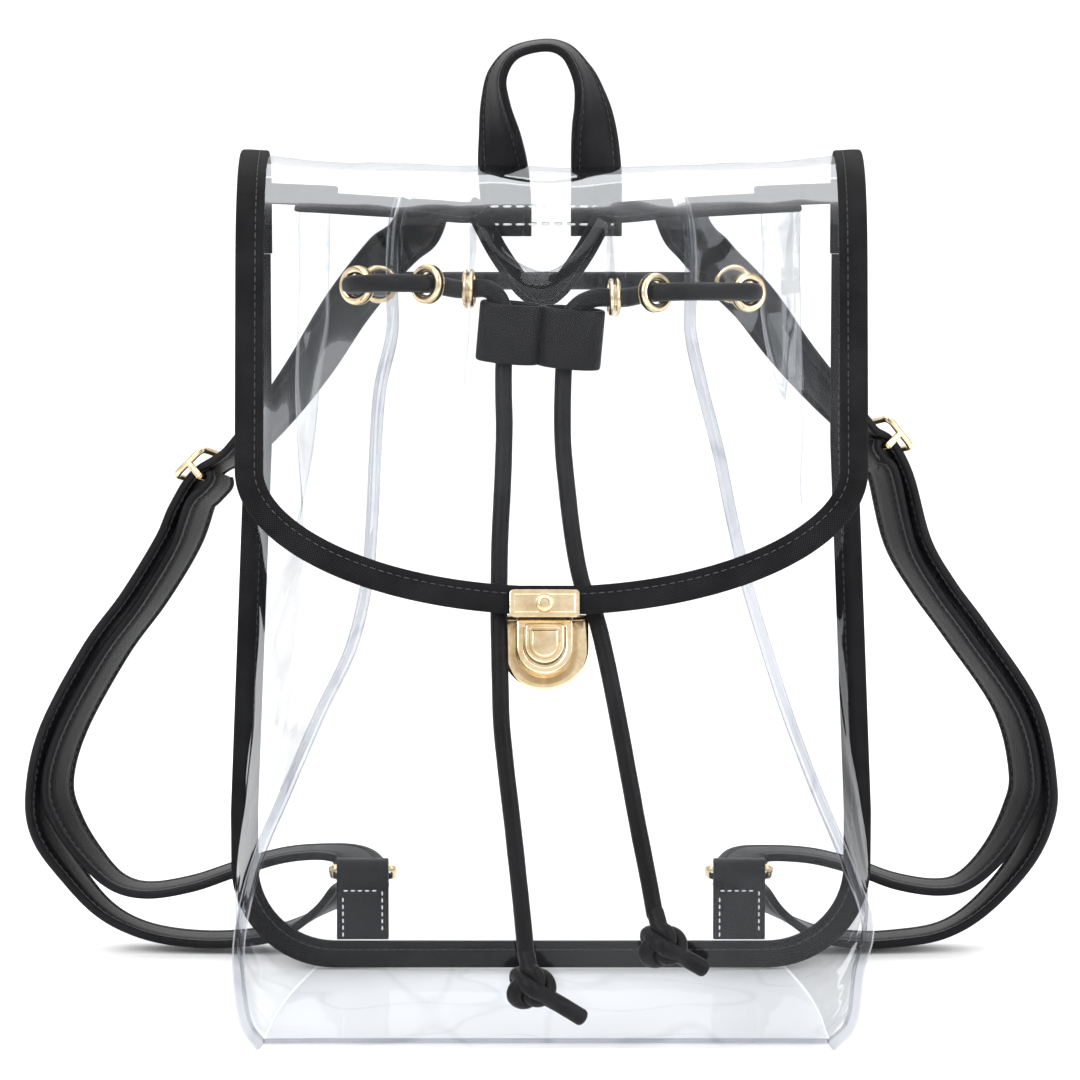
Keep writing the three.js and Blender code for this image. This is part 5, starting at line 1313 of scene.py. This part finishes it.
face = shield(BUTTON_HALF_WIDTH, BUTTON_TOP, BUTTON_BOTTOM)
button_in, button_out = body_out - BUTTON_DEPTH + 1.3, body_out + 1.0
joined("press_button", [
    plate(face, [(0.3, button_in), (0.0, button_in + 0.3), (0.0, button_out - 0.7), (0.25, button_out - 0.2),
                 (0.7, button_out), (1.5, button_out), (1.8, button_out - 0.3), (2.2, button_out - 0.3),
                 (2.5, button_out), (3.2, button_out + 0.05)]),
], lock_turn, lock_centre, GOLD, "lock_button", body="button")
bridge_low = BODY_TOP + GAP
bridge_high = flap_up - EDGE_INSET - FLAP_SLACK - GAP
face_near = flap_out + BINDING_OUTER + FLAP_SLACK + GAP
face_far = face_near + LOCK_PLATE
blade_far = body_out - BUTTON_DEPTH - 0.6 - GAP
blade_near = blade_far - LOCK_PLATE


def rounded_box(half_width, low, high, corner):
    out = []
    right, upper, lower = half_width - corner, high - corner, low + corner
    for cx, cz, start in ((right, lower, 270), (right, upper, 0), (-right, upper, 90), (-right, lower, 180)):
        out += [(cx + corner * across, cz + corner * up)
                for across, up in map(way_at, np.linspace(start, start + 90, 7))]
    return out


RIVET_RADIUS = 3.1
rivet_up = bridge_low + TONGUE_HEIGHT / 2
rivet_ring = [(RIVET_RADIUS * across, rivet_up + RIVET_RADIUS * up)
              for across, up in map(way_at, range(0, 360, 12))]
joined("lock_clasp", [
    plate(rounded_box(5.5, BODY_TOP - 8, bridge_high, 0.5), [(0.15, blade_near), (0, blade_near + 0.2),
                                                             (0, blade_far - 0.2), (0.15, blade_far)]),
    plate(rounded_box(BODY_HALF_WIDTH, bridge_low, bridge_high, 0.4), [(0, blade_near), (0, face_far - 0.2)]),
    plate(rounded_box(TONGUE_HALF_WIDTH, bridge_low, bridge_low + TONGUE_HEIGHT, 1.5),
          [(0.3, face_near), (0, face_near + 0.25), (0, face_far - 0.5), (0.2, face_far - 0.15),
           (0.7, face_far), (1.5, face_far), (1.9, face_far - 0.2), (2.3, face_far - 0.2)]),
    plate(rivet_ring, [(0, face_far - 0.3), (0, face_far + 0.25), (0.35, face_far + 0.75),
                       (1.0, face_far + 1.15), (1.5, face_far + 1.25), (1.75, face_far + 0.95),
                       (2.3, face_far + 0.9)]),
], lock_turn, lock_centre, GOLD, "lock_tongue")

# Stopper: two sleeves of strap material side by side
STOPPER_WIDTH = 43
STOPPER_HEIGHT = 21
STOPPER_DEPTH = 14
STOPPER_WALL = 1.6
STOPPER_PLACE = (-3.9, 66, 244)
STOPPER_TILT = math.radians(5)
SLEEVE_STEPS = 56
SLEEVE_LUMP = 0.35
LUMP_SCALE = 1.3


def sleeve(middle):
    half, deep = STOPPER_WIDTH / 4 + 0.6, STOPPER_DEPTH / 2
    profile = [(0.5, -0.5), (0.12, -0.48), (0, -0.44), (0, -0.15), (0, 0.15), (0, 0.44), (0.12, 0.48),
               (0.5, 0.5), (STOPPER_WALL - 0.5, 0.5), (STOPPER_WALL - 0.12, 0.48), (STOPPER_WALL, 0.44),
               (STOPPER_WALL, -0.44), (STOPPER_WALL - 0.12, -0.48), (STOPPER_WALL - 0.5, -0.5)]
    points = []
    for k in range(SLEEVE_STEPS):
        a = 2 * math.pi * k / SLEEVE_STEPS
        across, back = math.cos(a), math.sin(a)
        for inward, high in profile:
            spot = Vector((across * LUMP_SCALE + middle, back * LUMP_SCALE, high * 2))
            lump = SLEEVE_LUMP * noise.noise(spot)
            points.append(np.array([middle + (half - inward) * across, (deep - inward + lump) * back,
                                    high * STOPPER_HEIGHT]))
    return points, loft(SLEEVE_STEPS, len(profile), closed=True)


stopper_turn = np.array([[math.cos(STOPPER_TILT), 0, math.sin(STOPPER_TILT)], [0, 1, 0],
                         [-math.sin(STOPPER_TILT), 0, math.cos(STOPPER_TILT)]])
joined("cord_stopper", [sleeve(-STOPPER_WIDTH / 4), sleeve(STOPPER_WIDTH / 4)], stopper_turn,
       place(*STOPPER_PLACE), LEATHER, "stopper")

# White stitches that hold the handle to the flap's lower edge on the back
SEAM_HEIGHTS = (281, 274.5)
SEAM_ENDS = (-27, 26)
SEAM_PITCH = 4.6
SEAM_DASH = 0.68
seam_runs = []
for z in SEAM_HEIGHTS:
    for forward, face in ((FLAP_BACK + SHEET / 2 + 0.05, np.array([0, -1.0, 0])),
                          (SEWN_BACK - STRAP_THICKNESS / 2 - 0.02, np.array([0, 1.0, 0]))):
        line = [place(x, forward, z) for x in np.linspace(*SEAM_ENDS, 30)]
        seam_runs += dashes(line, [face] * 30, SEAM_PITCH, SEAM_DASH, 0.0)
stitches("handle_seam_stitches", seam_runs, 0.42, WHITE_THREAD)

# Floor, light and surroundings
FLOOR_Z = -0.0008
floor_corners = [(x, y, FLOOR_Z) for x, y in ((-6, -4), (6, -4), (6, 9), (-6, 9))]
floor_mesh = bpy.data.meshes.new("floor")
floor_mesh.from_pydata(floor_corners, [], [(0, 1, 2, 3)])
floor = bpy.data.objects.new("floor", floor_mesh)
bpy.context.scene.collection.objects.link(floor)
floor_mesh.materials.append(Look("pale_floor").surface((0.9, 0.9, 0.905), 0.6, {}, specular=0.2))


def area_light(name, place_at, target, size_x, size_y, watts):
    data = bpy.data.lights.new(name, "AREA")
    data.shape = "RECTANGLE"
    data.size, data.size_y, data.energy = size_x, size_y, watts
    light = bpy.data.objects.new(name, data)
    bpy.context.scene.collection.objects.link(light)
    light.location = place_at
    light.rotation_euler = (Vector(target) - Vector(place_at)).to_track_quat("-Z", "Y").to_euler()


area_light("key_box", (-1.3, -1.3, 1.5), (0, 0, 0.15), 0.9, 1.2, 26)
area_light("fill_box", (1.5, -0.9, 1.0), (0, 0, 0.15), 0.6, 1.3, 16)
area_light("top_box", (0, 0.1, 2.0), (0, 0, 0.1), 3.2, 2.4, 30)
area_light("back_box", (0.3, 2.6, 2.6), (0, 0, 0.2), 3.2, 1.8, 34)

world = bpy.data.worlds.new("studio")
bpy.context.scene.world = world
world.use_nodes = True
background = world.node_tree.nodes["Background"]
background.inputs["Color"].default_value = (1.0, 1.0, 1.0, 1)
background.inputs["Strength"].default_value = 1.0
bpy.context.scene.view_settings.view_transform = "Standard"
cycles = bpy.context.scene.cycles
cycles.transparent_max_bounces = 16
cycles.max_bounces = 4
cycles.diffuse_bounces = 1
cycles.glossy_bounces = 2
